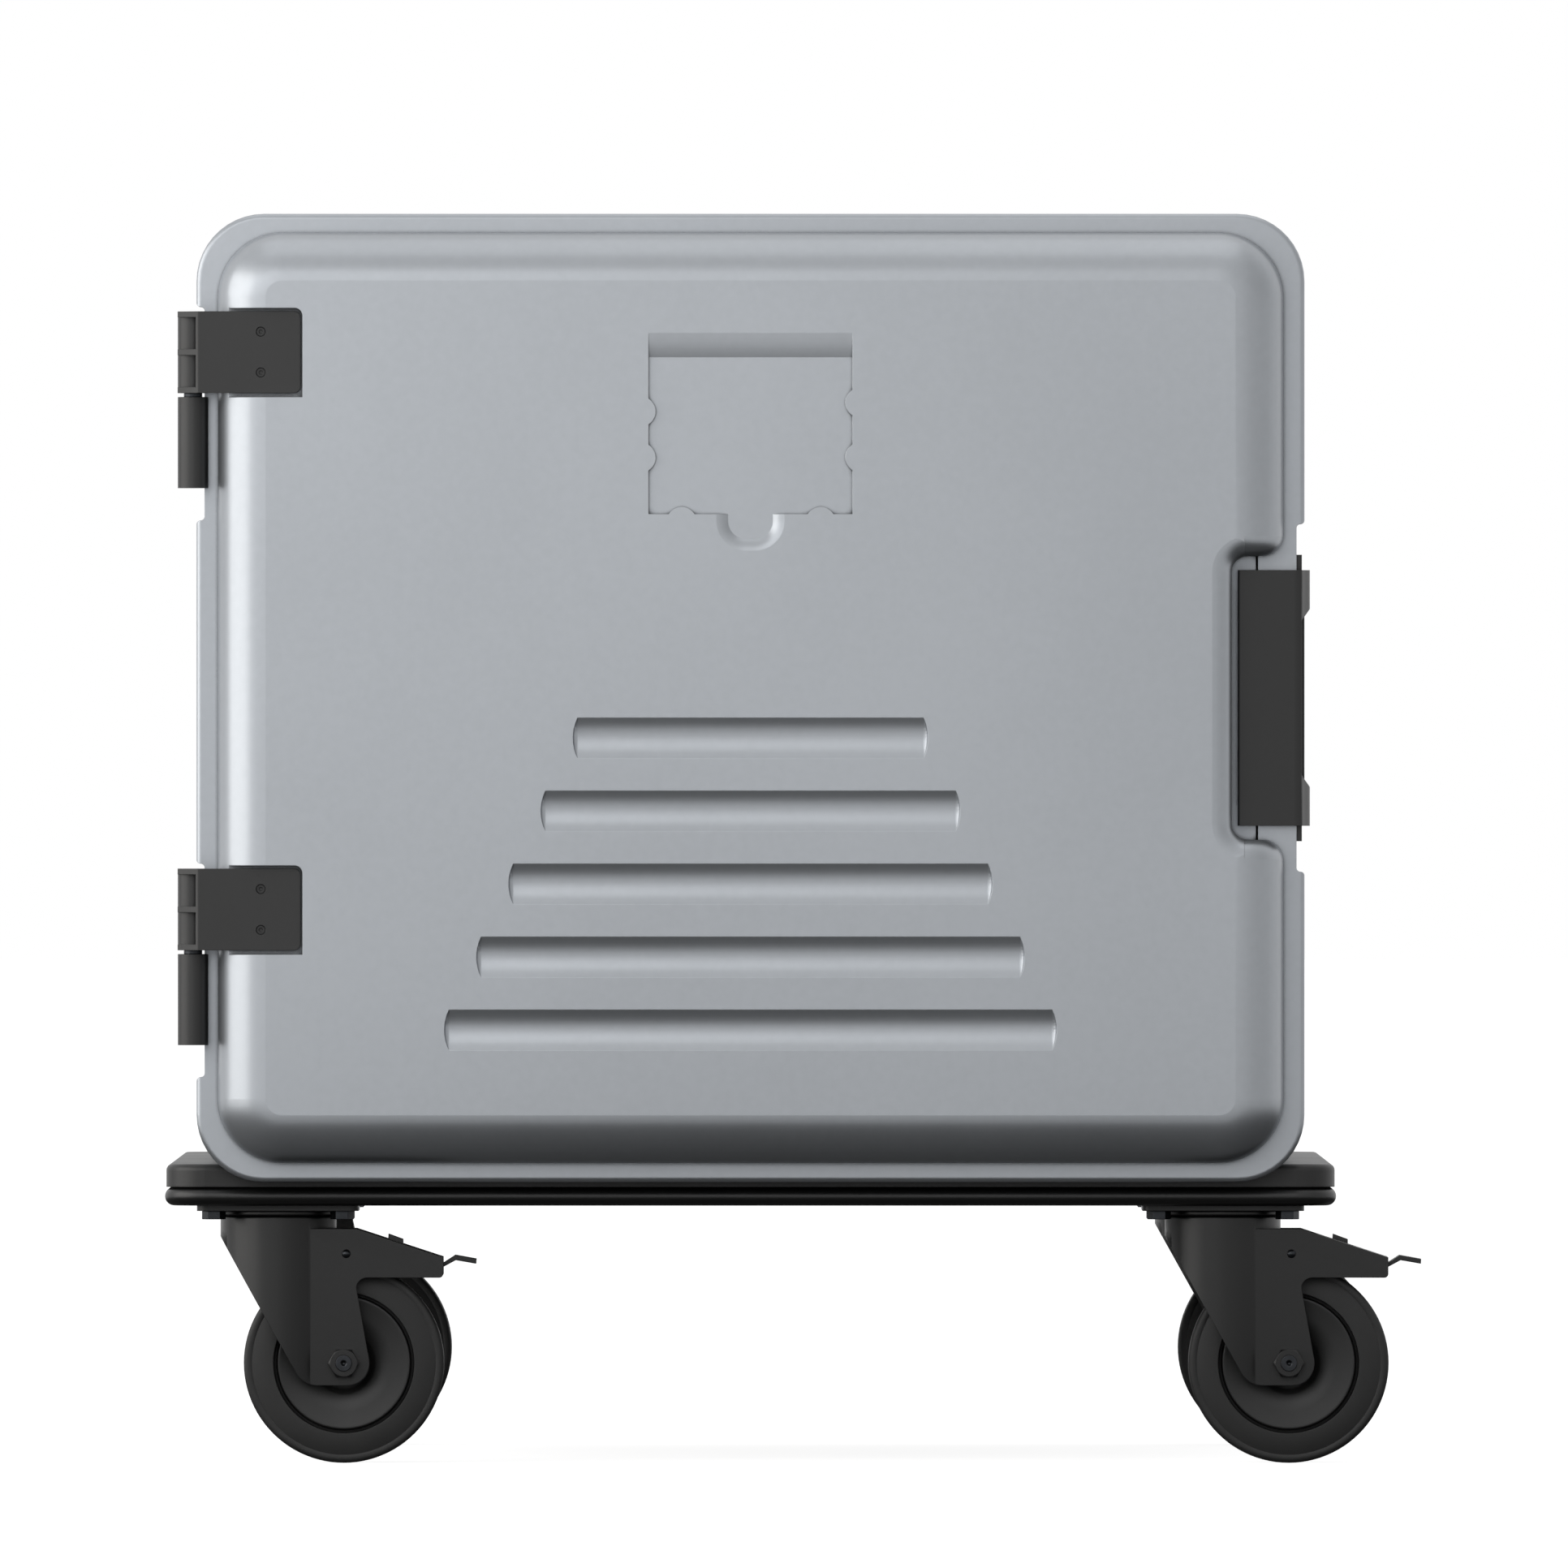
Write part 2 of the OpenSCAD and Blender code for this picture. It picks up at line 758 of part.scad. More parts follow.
module leaf_pocket_walls(grow) {
    for (z = leaf_z)
        translate([leaf_end + leaf_pocket_end + skin + grow - 100, 0, z - leaf_pocket_foot - skin - grow])
            slab(door_front - grow, door_front + leaf_sink + anchor_t + grow)
                square([100, leaf_h + leaf_pocket_top + leaf_pocket_foot + 2 * (skin + grow)]);
}

module label_wall(grow)
    translate([-label_w / 2 - skin - grow, door_front - grow, label_z - notch_h - notch_flare - skin - grow])
        cube([
            label_w + 2 * (skin + grow),
            label_depth + skin + 2 * grow,
            label_h + label_ramp + notch_h + notch_flare + 2 * (skin + grow)
        ]);

// Solid material that the door's skin keeps behind its pockets and grooves
module door_backing(grow) {
    grooves(skin + grow);
    label_wall(grow);
    latch_recess_wall(grow);
    leaf_pocket_walls(grow);
}

// Everything inside the door's skin
module door_inside(inset) {
    door_form(skin + inset);
    plug_form(skin + inset, -skin - inset - eps, plug_split);
}

module door_outside() {
    door_form(0);
    plug_form(0, -eps, plug_split);
}

module door_shell() color(body_grey) difference() {
    door_outside();
    difference() {
        union() {
            door_inside(0);
            plug_form(skin, 0, plug_split + eps);
        }
        door_backing(0);
    }
    grooves(0);
    label_pocket();
    latch_recess();
    leaf_pockets();
    leaf_screw_holes();
    mount_screw_holes();
}

module door_liner() color(liner_grey) difference() {
    plug_form(0, plug_split, plug_d);
    plug_form(skin, plug_split - eps, plug_d - skin);
}

module door_foam() color(foam_cream) difference() {
    union() {
        door_form(skin + fit);
        plug_form(skin + fit, -skin - fit - eps, plug_d - skin - fit);
    }
    door_backing(fit);
}

module door_seal() color(black_rubber) translate([0, 0, body_z]) slab(plug_d, rebate_d - seal_gap) difference() {
    rounded(plug_w - 2, plug_h - 2, plug_r - 1);
    rounded(plug_w - 2 - 2 * seal_w, plug_h - 2 - 2 * seal_w, max(plug_r - 1 - seal_w, 4));
}

// ---- Hinges ----

module hinge_leaf(z) color(black_plastic) translate([0, 0, z]) difference() {
    union() {
        slab(leaf_front, leaf_front + leaf_t)
            leaf_outline();
        translate([leaf_left - 2.6, leaf_front + 2, 0])
            cube([4, axis_y - leaf_front - 2 - 2, leaf_h]);
        translate([leaf_left - 0.6, leaf_front + 2, 0])
            cylinder(r = 2, h = leaf_h);
        translate([axis_x, axis_y, 0])
            cylinder(r = barrel_r, h = leaf_h);
        for (i = [0:2])
            translate([0, 0, i * (leaf_h - rib_t) / 2])
                linear_extrude(rib_t)
                    rib_outline();
    }
    translate([axis_x, axis_y, -eps])
        cylinder(d = hinge_pin_d + 2 * run_gap, h = leaf_h - 5 + eps);
    for (level = leaf_screw_z)
        translate([leaf_screw_x, leaf_front, level * leaf_h])
            spun_y() {
                translate([0, 0, -leaf_t - eps])
                    cylinder(d = screw_d + 2 * run_gap, h = leaf_t + 2 * eps);
                translate([0, 0, -leaf_t + 1.6])
                    cylinder(d = leaf_screw_d, h = leaf_t);
            }
}

module leaf_outline() {
    translate([leaf_left - 0.6, 0])
        square([leaf_end - leaf_left + 0.6 - 4, leaf_h]);
    translate([leaf_left - 0.6, 4])
        square([leaf_end - leaf_left + 0.6, leaf_h - 8]);
    for (z = [4, leaf_h - 4])
        translate([leaf_end - 4, z])
            circle(4);
}

// Seen from above: the sloping web that ties the leaf to its barrel
module rib_outline() polygon([
    [leaf_left, leaf_front + 0.6],
    [leaf_left - 2, leaf_front + 0.6],
    [axis_x - barrel_r, axis_y - 9],
    [axis_x - barrel_r, axis_y],
    [axis_x, axis_y],
    [leaf_left, axis_y - 4]
]);

module hinge_bracket(z) color(black_plastic) difference() {
    union() {
        translate([axis_x, axis_y, z - collar_h - barrel_h])
            cylinder(r = barrel_r, h = barrel_h);
        translate([-side_x - bracket_t, axis_y, z - collar_h - barrel_h + 2])
            cube([bracket_t, bracket_reach, barrel_h - 4]);
    }
    translate([axis_x, axis_y, z - collar_h - barrel_h + 6])
        cylinder(d = hinge_pin_d, h = barrel_h);
    bracket_screw_holes();
}

module hinge_pin(z) color(bare_steel) translate([axis_x, axis_y, 0]) {
    translate([0, 0, z - collar_h])
        cylinder(d = collar_d, h = collar_h);
    translate([0, 0, z - collar_h - barrel_h + 6])
        cylinder(d = hinge_pin_d, h = barrel_h - 6 + collar_h + leaf_h - 6);
}

function bracket_screw_heights(z) = z - collar_h - barrel_h * 0.5;

module bracket_screw_places()
    for (z = leaf_z, y = bracket_screw_y, dz = [-14, 14])
        translate([-side_x - bracket_t, y, bracket_screw_heights(z) + dz])
            rotate([0, 90, 0])
                children();

module bracket_screw_holes()
    bracket_screw_places()
        translate([0, 0, -eps])
            cylinder(d = screw_d, h = screw_len + bracket_t + eps);

module pan_screw(head_d, head_h, length) {
    cylinder(d = screw_d, h = length);
    difference() {
        translate([0, 0, -head_h])
            cylinder(d = head_d, h = head_h);
        translate([0, 0, -head_h - eps])
            cylinder(d = head_d * 0.45, h = head_h * 0.6 + eps, $fn = 6);
    }
}

module bracket_screws() color(bare_steel)
    bracket_screw_places()
        pan_screw(8, 2.4, screw_len + bracket_t);

module leaf_screw_places()
    for (z = leaf_z, level = leaf_screw_z)
        translate([leaf_screw_x, leaf_front + leaf_t - 1.6, z + level * leaf_h])
            rotate([-90, 0, 0])
                children();

module leaf_screw_holes()
    leaf_screw_places()
        cylinder(d = screw_d, h = screw_len + 1.6);

module leaf_screws() color(coated_steel)
    leaf_screw_places()
        pan_screw(leaf_screw_d - 0.4, 1.8, screw_len + 1.6);

// ---- Latch ----

// Seen from above: the plate, its rounded bend and the leg along the body's side
module handle_plan() {
    tip = 1.5;
    bend_x = ear_x - handle_corner;
    bend_y = handle_front + handle_corner;
    inner_r = handle_corner - handle_t;
    translate([handle_left + tip, handle_front])
        square([bend_x - handle_left - tip, handle_t]);
    translate([handle_left, handle_front + tip])
        square([2 * tip, handle_t - 2 * tip]);
    for (y = [tip, handle_t - tip])
        translate([handle_left + tip, handle_front + y])
            circle(tip);
    difference() {
        intersection() {
            translate([bend_x, bend_y])
                circle(handle_corner);
            translate([bend_x, handle_front])
                square(handle_corner);
        }
        translate([ear_x - ear_t - inner_r, bend_y])
            circle(inner_r);
        translate([bend_x - eps, handle_front + handle_t])
            square([ear_x - ear_t - inner_r - bend_x + eps, handle_corner]);
    }
    translate([ear_x - ear_t, bend_y])
        square([ear_t, ear_reach - bend_y]);
}

// The window that leaves two ears on the leg
module handle_window() {
    window_w = 2 * ear_reach;
    translate([ear_x - ear_t - 2.8, handle_front + 0.95 + window_w / 2, body_z])
        rotate([90, 0, 90])
            linear_extrude(handle_corner)
                rounded(window_w, handle_h - 2 * ear_h, 10.6);
}

module latch_handle() color(black_plastic) difference() {
    union() {
        translate([0, 0, body_z - handle_h / 2])
            linear_extrude(handle_h)
                handle_plan();
        latch_knuckle_places(1) {
            cylinder(r = latch_knuckle_r, h = latch_knuckle_h - clear);
            translate([-latch_knuckle_r, handle_front + handle_t / 2 - latch_y, 0])
                cube([2 * latch_knuckle_r, latch_y - handle_front - handle_t / 2, latch_knuckle_h - clear]);
        }
    }
    handle_window();
    latch_knuckle_places(0)
        translate([0, 0, -clear])
            cylinder(r = latch_knuckle_r + 2 * fit, h = latch_knuckle_h + clear);
    translate([latch_x, latch_y, body_z - handle_h / 2 - eps])
        cylinder(d = latch_pin_d + 2 * run_gap, h = handle_h + 2 * eps);
}

latch_knuckle_h = (handle_h - 24) / latch_knuckles;

// Knuckles that alternate along the pin: odd ones on the handle, even ones on its mount
module latch_knuckle_places(kind)
    for (i = [kind:2:latch_knuckles - 1])
        translate([latch_x, latch_y, body_z + (i - latch_knuckles / 2) * latch_knuckle_h + clear / 2])
            children();

module latch_mount() color(coated_steel) difference() {
    union() {
        translate([latch_x - 4, recess_floor - mount_t, body_z - handle_h / 2 + 12])
            cube([plug_w / 2 - latch_x + 2.5, mount_t, handle_h - 24]);
        latch_knuckle_places(0) {
            cylinder(r = latch_knuckle_r, h = latch_knuckle_h - clear);
            translate([-1.8, 0, 0])
                cube([3.6, recess_floor - latch_y, latch_knuckle_h - clear]);
        }
    }
    translate([latch_x, latch_y, body_z - handle_h / 2])
        cylinder(d = latch_pin_d, h = handle_h);
    mount_screw_holes();
}

module latch_pin() color(bare_steel)
    translate([latch_x, latch_y, body_z - handle_h / 2 + 8])
        cylinder(d = latch_pin_d, h = handle_h - 16);

small_screw_d = 2.6;

module mount_screw_places()
    for (i = [1:2:latch_knuckles - 1])
        translate([
            latch_x + 0.1,
            recess_floor - mount_t,
            body_z + (i + 0.5 - latch_knuckles / 2) * latch_knuckle_h
        ])
            rotate([-90, 0, 0])
                children();

// A countersunk screw; as a cutter it reaches past the face by a little
module flush_screw(d, length, past) {
    cylinder(d = d, h = length);
    cylinder(d1 = 2 * d, d2 = d, h = d / 2);
    translate([0, 0, -past])
        cylinder(d = 2 * d, h = past);
}

module mount_screw_holes()
    mount_screw_places()
        flush_screw(small_screw_d, mount_t + skin - 0.5, eps);

module latch_mount_screws() color(bare_steel)
    mount_screw_places()
        difference() {
            flush_screw(small_screw_d, mount_t + skin - 0.5, 0);
            screw_recess(small_screw_d);
        }

module screw_recess(d) translate([0, 0, -eps]) cylinder(d = 0.9 * d, h = 0.4 * d + eps, $fn = 6);

module latch_keeper() color(black_plastic) difference() {
    union() {
        translate([side_x, keeper_front + 1, body_z - keeper_h / 2])
            cube([keeper_t, keeper_depth - 1, keeper_h]);
        translate([side_x, keeper_front, body_z - keeper_h / 2])
            cube([keeper_t - 1, keeper_depth, keeper_h]);
        translate([side_x + keeper_t - 1, keeper_front + 1, body_z - keeper_h / 2])
            cylinder(r = 1, h = keeper_h);
        translate([side_x, keeper_front + 2, body_z - keeper_block_h / 2])
            cube([keeper_t + keeper_block_t, keeper_depth / 2, keeper_block_h]);
    }
    keeper_screw_holes();
}

module keeper_screw_places()
    for (z = [-1, 1], y = [0.45, 0.8])
        translate([side_x + keeper_t, keeper_front + y * keeper_depth, body_z + z * (keeper_block_h / 2 + 11)])
            rotate([0, -90, 0])
                children();

module keeper_screw_holes()
    keeper_screw_places()
        flush_screw(screw_d, keeper_t + screw_len, eps);

module keeper_screws() color(bare_steel)
    keeper_screw_places()
        difference() {
            flush_screw(screw_d, keeper_t + screw_len, 0);
            screw_recess(screw_d);
        }

// ---- Dolly ----

module deck_outline(grow)
    translate([0, deck_mid_y])
        rounded(2 * (deck_half + grow), deck_depth + 2 * grow, deck_r + grow);

module dolly_deck() color(black_plastic) difference() {
    union() {
        translate([0, 0, caster_h])
            linear_extrude(bumper_h)
                deck_outline(bumper_out - bumper_r);
        translate([0, deck_mid_y, 0])
            rotate([-90, 0, 0])
                pillow(2 * deck_half, deck_depth, deck_r, deck_edge, -deck_top, -caster_h - bumper_h);
    }
    translate([0, 0, well_gap])
        body_form(well_gap, rim_t - well_gap, body_d + well_gap);
    for (x = [-1, 1], y = [-1, 1])
        translate([x * deck_half * 0.32, deck_mid_y + y * deck_depth * 0.12, caster_h - eps])
            linear_extrude(under_pocket + eps)
                rounded(deck_half * 0.55, deck_depth * 0.2, 14);
    for (y = [-1, 1])
        translate([0, deck_mid_y + y * caster_y, caster_h - eps])
            linear_extrude(under_pocket + eps)
                rounded(caster_x * 1.4, plate_d, 14);
    caster_places()
        caster_bolt_places()
            translate([0, 0, -eps])
                cylinder(d = bolt_d, h = bolt_len + 2 * eps);
}

module dolly_bumper() color(black_rubber) {
    w = 2 * (deck_half + bumper_out);
    d = deck_depth + 2 * bumper_out;
    r = deck_r + bumper_out;
    translate([0, deck_mid_y, caster_h + bumper_r]) {
        for (side = [-1, 1]) {
            translate([side * (w / 2 - bumper_r), d / 2 - r, 0])
                rotate([90, 0, 0])
                    linear_extrude(d - 2 * r)
                        bumper_section(side);
            translate([-w / 2 + r, side * (d / 2 - bumper_r), 0])
                rotate([90, 0, 90])
                    linear_extrude(w - 2 * r)
                        bumper_section(side);
        }
        for (x = [-1, 1], y = [-1, 1])
            translate([x * (w / 2 - r), y * (d / 2 - r), 0])
                rotate(x > 0 ? (y > 0 ? 0 : -90) : (y > 0 ? 90 : 180))
                    rotate_extrude(angle = 90)
                        translate([r - bumper_r, 0])
                            bumper_section(1);
    }
}

module bumper_section(side) intersection() {
    circle(bumper_r);
    translate([side > 0 ? 0 : -bumper_r, -bumper_r])
        square([bumper_r, 2 * bumper_r]);
}

// ---- Casters ----

corner_signs = [[-1, -1], [1, -1], [-1, 1], [1, 1]];

module caster_at(i)
    translate([corner_signs[i][0] * caster_x, deck_mid_y + corner_signs[i][1] * caster_y, 0])
        children();

module caster_places()
    for (i = [0:3])
        caster_at(i)
            children();

module caster_bolt_places()
    for (x = [-1, 1], y = [-1, 1])
        translate([x * bolt_dx / 2, y * bolt_dy / 2, caster_h])
            children();

module caster_plate() color(coated_steel) difference() {
    translate([0, 0, caster_h - plate_t])
        linear_extrude(plate_t)
            rounded(plate_w, plate_d, 6);
    caster_bolt_places()
        translate([0, 0, -plate_t - eps])
            cylinder(d = bolt_d, h = plate_t + 2 * eps);
    translate([0, 0, caster_h - plate_t - eps])
        cylinder(d = kingpin_d, h = plate_t + 2 * eps);
}

module caster_bolts() color(bare_steel)
    caster_places()
        caster_bolt_places() {
            translate([0, 0, -plate_t])
                cylinder(d = bolt_d, h = plate_t + bolt_len);
            translate([0, 0, -plate_t - bolt_head_t])
                hex(bolt_head_af, bolt_head_t);
        }

module ball_race() color(coated_steel)
    translate([0, 0, fork_top + race_gap])
        difference() {
            cylinder(d = neck_d + 3.2, h = caster_h - plate_t - fork_top - race_gap);
            translate([0, 0, -eps])
                cylinder(d = kingpin_d, h = 2 * plate_t + eps);
        }

module kingpins() color(coated_steel)
    caster_places() {
        translate([0, 0, fork_top - fork_t - clear - rivet_head_t])
            cylinder(d = kingpin_d + 8, h = rivet_head_t);
        translate([0, 0, fork_top - fork_t - clear])
            cylinder(d = kingpin_d, h = caster_h - fork_top + fork_t + clear);
    }

// Seen from the side: the cheek of a fork, trailing towards +X
module cheek_outline(braked) {
    lobe_x = trail + 2.3;
    lobe_r = 13.7;
    foot = wheel_r - 14;
    heel_r = 15;
    heel = arc(24.5, foot + heel_r, heel_r, 211, 270);
    lobe = arc(lobe_x, foot + lobe_r, lobe_r, -90, 8);
    rear = braked
        ? concat(
            arc(trail + 14.7, wheel_r + 46.3, 7, 173, 90),
            arc(housing_end - 2.5, wheel_r + 55.7, 2.5, -90, 0),
            [[housing_end, slope_end_z], [slope_start, cheek_top]]
        )
        : [[trail - 1.6, cheek_top]];
    polygon(concat([[-neck_d / 2 - eps, cheek_top - 3]], heel, lobe, rear, [[-neck_d / 2 - eps, cheek_top]]));
}

// Seen from above: the rounded nose and the two flat cheeks, drawn in by a wall thickness
module fork_plan(inset) {
    circle(d = neck_d - 2 * inset);
    translate([0, -fork_w / 2 + inset])
        square([housing_end + 10, fork_w - 2 * inset]);
}

// Top plate that joins the two cheeks over the brake
module housing_top() {
    slope = [[slope_start, cheek_top], [housing_end, slope_end_z]];
    slab(-fork_w / 2 + fork_t / 2, fork_w / 2 - fork_t / 2)
        polygon(concat([[trail / 2, cheek_top]], slope,
            [slope[1] - [0, fork_t], slope[0] - [0, fork_t], [trail / 2, cheek_top - fork_t]]));
}

tab_x = [67.8, 78.1];
shoe_x = [58, 72];

module fork(braked) color(coated_steel) difference() {
    union() {
        intersection() {
            slab(-neck_d, neck_d)
                cheek_outline(braked);
            linear_extrude(caster_h)
                difference() {
                    fork_plan(0);
                    fork_plan(fork_t);
                }
        }
        translate([0, 0, cheek_top - fork_t])
            difference() {
                cylinder(d = neck_d, h = fork_top - cheek_top + fork_t);
                translate([0, 0, -eps])
                    cylinder(d = neck_d - 2 * fork_t, h = fork_top - cheek_top + eps);
            }
        if (braked)
            housing_top();
    }
    bore(kingpin_d + 2 * run_gap, caster_h);
    translate([trail, 0, wheel_r])
        rotate([90, 0, 0])
            cylinder(d = axle_d, h = 2 * fork_w, center = true);
    if (braked) {
        pedal_pin_at()
            cylinder(d = pedal_pin_d, h = 2 * fork_w, center = true);
        translate([tab_x[0] - 3, -11, wheel_r + 46])
            cube([tab_x[1] - tab_x[0] + 6.5, 22, 50]);
    }
}

module pedal_pin_at() translate([pedal_pin_x, 0, pedal_pin_z]) rotate([90, 0, 0]) children();

module axle_bolt() color(bare_steel)
    translate([trail, 0, wheel_r])
        rotate([90, 0, 0]) {
            difference() {
                translate([0, 0, -fork_w / 2])
                    cylinder(d = axle_d, h = fork_w + nut_t + 1.5);
                translate([0, 0, fork_w / 2 + nut_t])
                    cylinder(d1 = 1, d2 = 4, h = 1.6);
            }
            translate([0, 0, -fork_w / 2 - head_t])
                hex(axle_af, head_t);
        }

module axle_nut() color(coated_steel)
    translate([trail, -fork_w / 2, wheel_r])
        rotate([90, 0, 0])
            difference() {
                intersection() {
                    hex(axle_af, nut_t);
                    cylinder(d1 = axle_af + 2 * nut_t + 3, d2 = axle_af - 0.4, h = nut_t);
                }
                bore(axle_d, nut_t);
            }

module wheel_core() color(black_plastic)
    translate([trail, 0, wheel_r])
        rotate([90, 0, 0])
            rotate_extrude()
                wheel_section();

// Half section of the wheel core: hub, dished web and rim
module wheel_section() {
    hub_half = fork_w / 2 - fork_t - 0.8;
    web = tyre_w / 2;
    hub = axle_d / 2 + run_gap;
    core = core_d / 2;
    polygon([
        [hub, -hub_half], [13, -hub_half], [14.5, -web + 6.5], [20, -web + 5.5], [core - 4, -web + 3],
        [core - 2.4, -web + 2.4], [core - 2, -web + 3], [core - 2, -web + 8], [core, -web + 8],
        [core, web - 8], [core - 2, web - 8], [core - 2, web - 3], [core - 2.4, web - 2.4],
        [core - 4, web - 3], [20, web - 5.5], [14.5, web - 6.5], [13, hub_half], [hub, hub_half]
    ]);
}

module tyre() color(black_rubber)
    translate([trail, 0, wheel_r])
        rotate([90, 0, 0])
            rotate_extrude()
                difference() {
                    translate([core_d / 2, -tyre_w / 2])
                        square([wheel_r - core_d / 2, tyre_w]);
                    for (side = [-1, 1])
                        translate([wheel_r, side * tyre_w / 2])
                            rotate(45)
                                square(3, center = true);
                }

// Seen from the side: the pedal's strip, with its bent lip and the pad that meets the tyre
module pedal_outline() {
    polygon([
        [pedal_pin_x, pedal_pin_z + 4.2],
        [pedal_pin_x, pedal_pin_z - 4.2],
        [pedal_pin_x + 8, pedal_pin_z - 4.2],
        [pedal_pin_x + 30, pedal_pin_z - 6.2],
        [housing_end, pedal_pin_z - 8.4],
        [pedal_tip - 12.9, pedal_pin_z - 4.2],
        [pedal_tip - 0.2, pedal_pin_z - 6.4],
        [pedal_tip, pedal_pin_z - 3.4],
        [pedal_tip - 13.3, pedal_pin_z - 3.6 + pedal_t],
        [housing_end, pedal_pin_z - 8.4 + pedal_t],
        [pedal_pin_x + 34, pedal_pin_z - 6.2 + pedal_t]
    ]);
    difference() {
        polygon([
            [shoe_x[0], pedal_pin_z - 3], [shoe_x[1], pedal_pin_z - 4], [shoe_x[1], wheel_d - 9], [shoe_x[0], wheel_d - 6]
        ]);
        translate([trail, wheel_r])
            circle(wheel_r + shoe_gap);
    }
}

module brake_pedal() color(coated_steel) difference() {
    union() {
        slab(-pedal_w / 2, pedal_w / 2)
            pedal_outline();
        pedal_pin_at()
            cylinder(d = 9, h = fork_w - 2 * (fork_t + 2 * fit), center = true);
        slab(-9, 9)
            polygon([
                [tab_x[0], pedal_pin_z - 5], [tab_x[1], pedal_pin_z - 5],
                [tab_x[1], pedal_pin_z + 8.9], [tab_x[0] + 1, pedal_pin_z + 12.3]
            ]);
    }
    pedal_pin_at()
        cylinder(d = pedal_pin_d + 2 * run_gap, h = 2 * pedal_w, center = true);
}

module brake_pin() color(bare_steel)
    pedal_pin_at() {
        cylinder(d = pedal_pin_d, h = fork_w, center = true);
        for (side = [0, 1])
            mirror([0, 0, side])
                translate([0, 0, fork_w / 2])
                    intersection() {
                        cylinder(d = 5.7, h = 1.6);
                        translate([0, 0, -1.7])
                            sphere(r = 3.3);
                    }
    }

// ---- Nodes ----

placed() outer_shell();
placed() inner_liner();
placed() wall_foam();
placed() door_shell();
placed() door_liner();
placed() door_foam();
placed() door_seal();
for (i = [0:1]) {
    placed() hinge_leaf(leaf_z[i]);
    placed() hinge_bracket(leaf_z[i]);
    placed() hinge_pin(leaf_z[i]);
}
placed() leaf_screws();
placed() bracket_screws();
placed() latch_handle();
placed() latch_mount();
placed() latch_pin();
placed() latch_keeper();
placed() latch_mount_screws();
placed() keeper_screws();
placed() dolly_deck();
placed() dolly_bumper();
placed() caster_bolts();
placed() kingpins();
for (i = [0:3]) {
    placed() caster_at(i) caster_plate();
    placed() caster_at(i) ball_race();
    placed() caster_at(i) fork(i < braked_corners);
    placed() caster_at(i) axle_bolt();
    placed() caster_at(i) axle_nut();
    placed() caster_at(i) wheel_core();
    placed() caster_at(i) tyre();
}
for (i = [0:braked_corners - 1]) {
    placed() caster_at(i) brake_pedal();
    placed() caster_at(i) brake_pin();
}
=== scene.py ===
import json
import math

import bpy
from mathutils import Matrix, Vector

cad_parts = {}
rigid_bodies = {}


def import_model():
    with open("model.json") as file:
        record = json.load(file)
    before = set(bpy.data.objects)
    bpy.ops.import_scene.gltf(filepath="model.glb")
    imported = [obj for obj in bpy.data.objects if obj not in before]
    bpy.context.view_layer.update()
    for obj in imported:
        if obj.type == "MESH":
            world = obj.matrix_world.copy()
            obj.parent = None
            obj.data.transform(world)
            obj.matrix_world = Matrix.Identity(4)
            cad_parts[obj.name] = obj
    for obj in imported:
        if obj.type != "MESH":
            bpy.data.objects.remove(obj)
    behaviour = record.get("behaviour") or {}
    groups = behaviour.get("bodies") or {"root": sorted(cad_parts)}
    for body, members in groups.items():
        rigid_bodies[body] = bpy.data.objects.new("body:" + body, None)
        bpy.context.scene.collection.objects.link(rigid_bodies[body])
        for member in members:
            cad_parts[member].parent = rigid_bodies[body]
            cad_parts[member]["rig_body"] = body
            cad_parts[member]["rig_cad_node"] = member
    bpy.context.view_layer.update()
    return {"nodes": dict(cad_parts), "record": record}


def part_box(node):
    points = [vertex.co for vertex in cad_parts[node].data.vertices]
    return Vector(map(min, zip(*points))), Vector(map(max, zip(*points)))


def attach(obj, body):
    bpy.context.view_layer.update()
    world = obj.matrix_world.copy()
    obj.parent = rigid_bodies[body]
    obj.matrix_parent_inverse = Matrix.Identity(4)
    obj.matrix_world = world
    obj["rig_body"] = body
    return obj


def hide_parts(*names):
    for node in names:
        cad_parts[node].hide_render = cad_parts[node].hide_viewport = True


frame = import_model()
nodes = frame["nodes"]
corners = ["front_left", "front_right", "rear_left", "rear_right"]
brakedCorners = corners[:2]
print("frame loaded:", len(nodes), "nodes")


def mm(value):
    return value / 1000.0


# level camera with a very long lens, and the small shift of the photograph's framing
cameraSettings = {
    "place": (-0.0205, -28.812, 0.4623),
    "viewWidth": 0.9764,
    "rimDistance": 28.4,
    "shift": (0.0150, -0.0393),
    "sensor": 36,
    "farthest": 200,
}


def placeCamera(s):
    bpy.ops.object.camera_add(location=s["place"], rotation=(math.radians(90), 0, 0))
    cam = bpy.context.active_object
    cam.name = "productCamera"
    cam.data.sensor_width = s["sensor"]
    cam.data.lens = s["sensor"] * s["rimDistance"] / s["viewWidth"]
    cam.data.shift_x, cam.data.shift_y = s["shift"]
    cam.data.clip_end = s["farthest"]
    bpy.context.scene.camera = cam


placeCamera(cameraSettings)
print("camera placed")


# one socket of a material, so that sums and products of sockets can be written plainly
class Term:
    def __init__(self, graph, out):
        self.graph = graph
        self.out = out

    def __add__(self, other):
        return self.graph.maths("ADD", self, other)

    def __sub__(self, other):
        return self.graph.maths("SUBTRACT", self, other)

    def __rsub__(self, other):
        return self.graph.maths("SUBTRACT", other, self)

    def __mul__(self, other):
        return self.graph.maths("MULTIPLY", self, other)

    __radd__ = __add__
    __rmul__ = __mul__


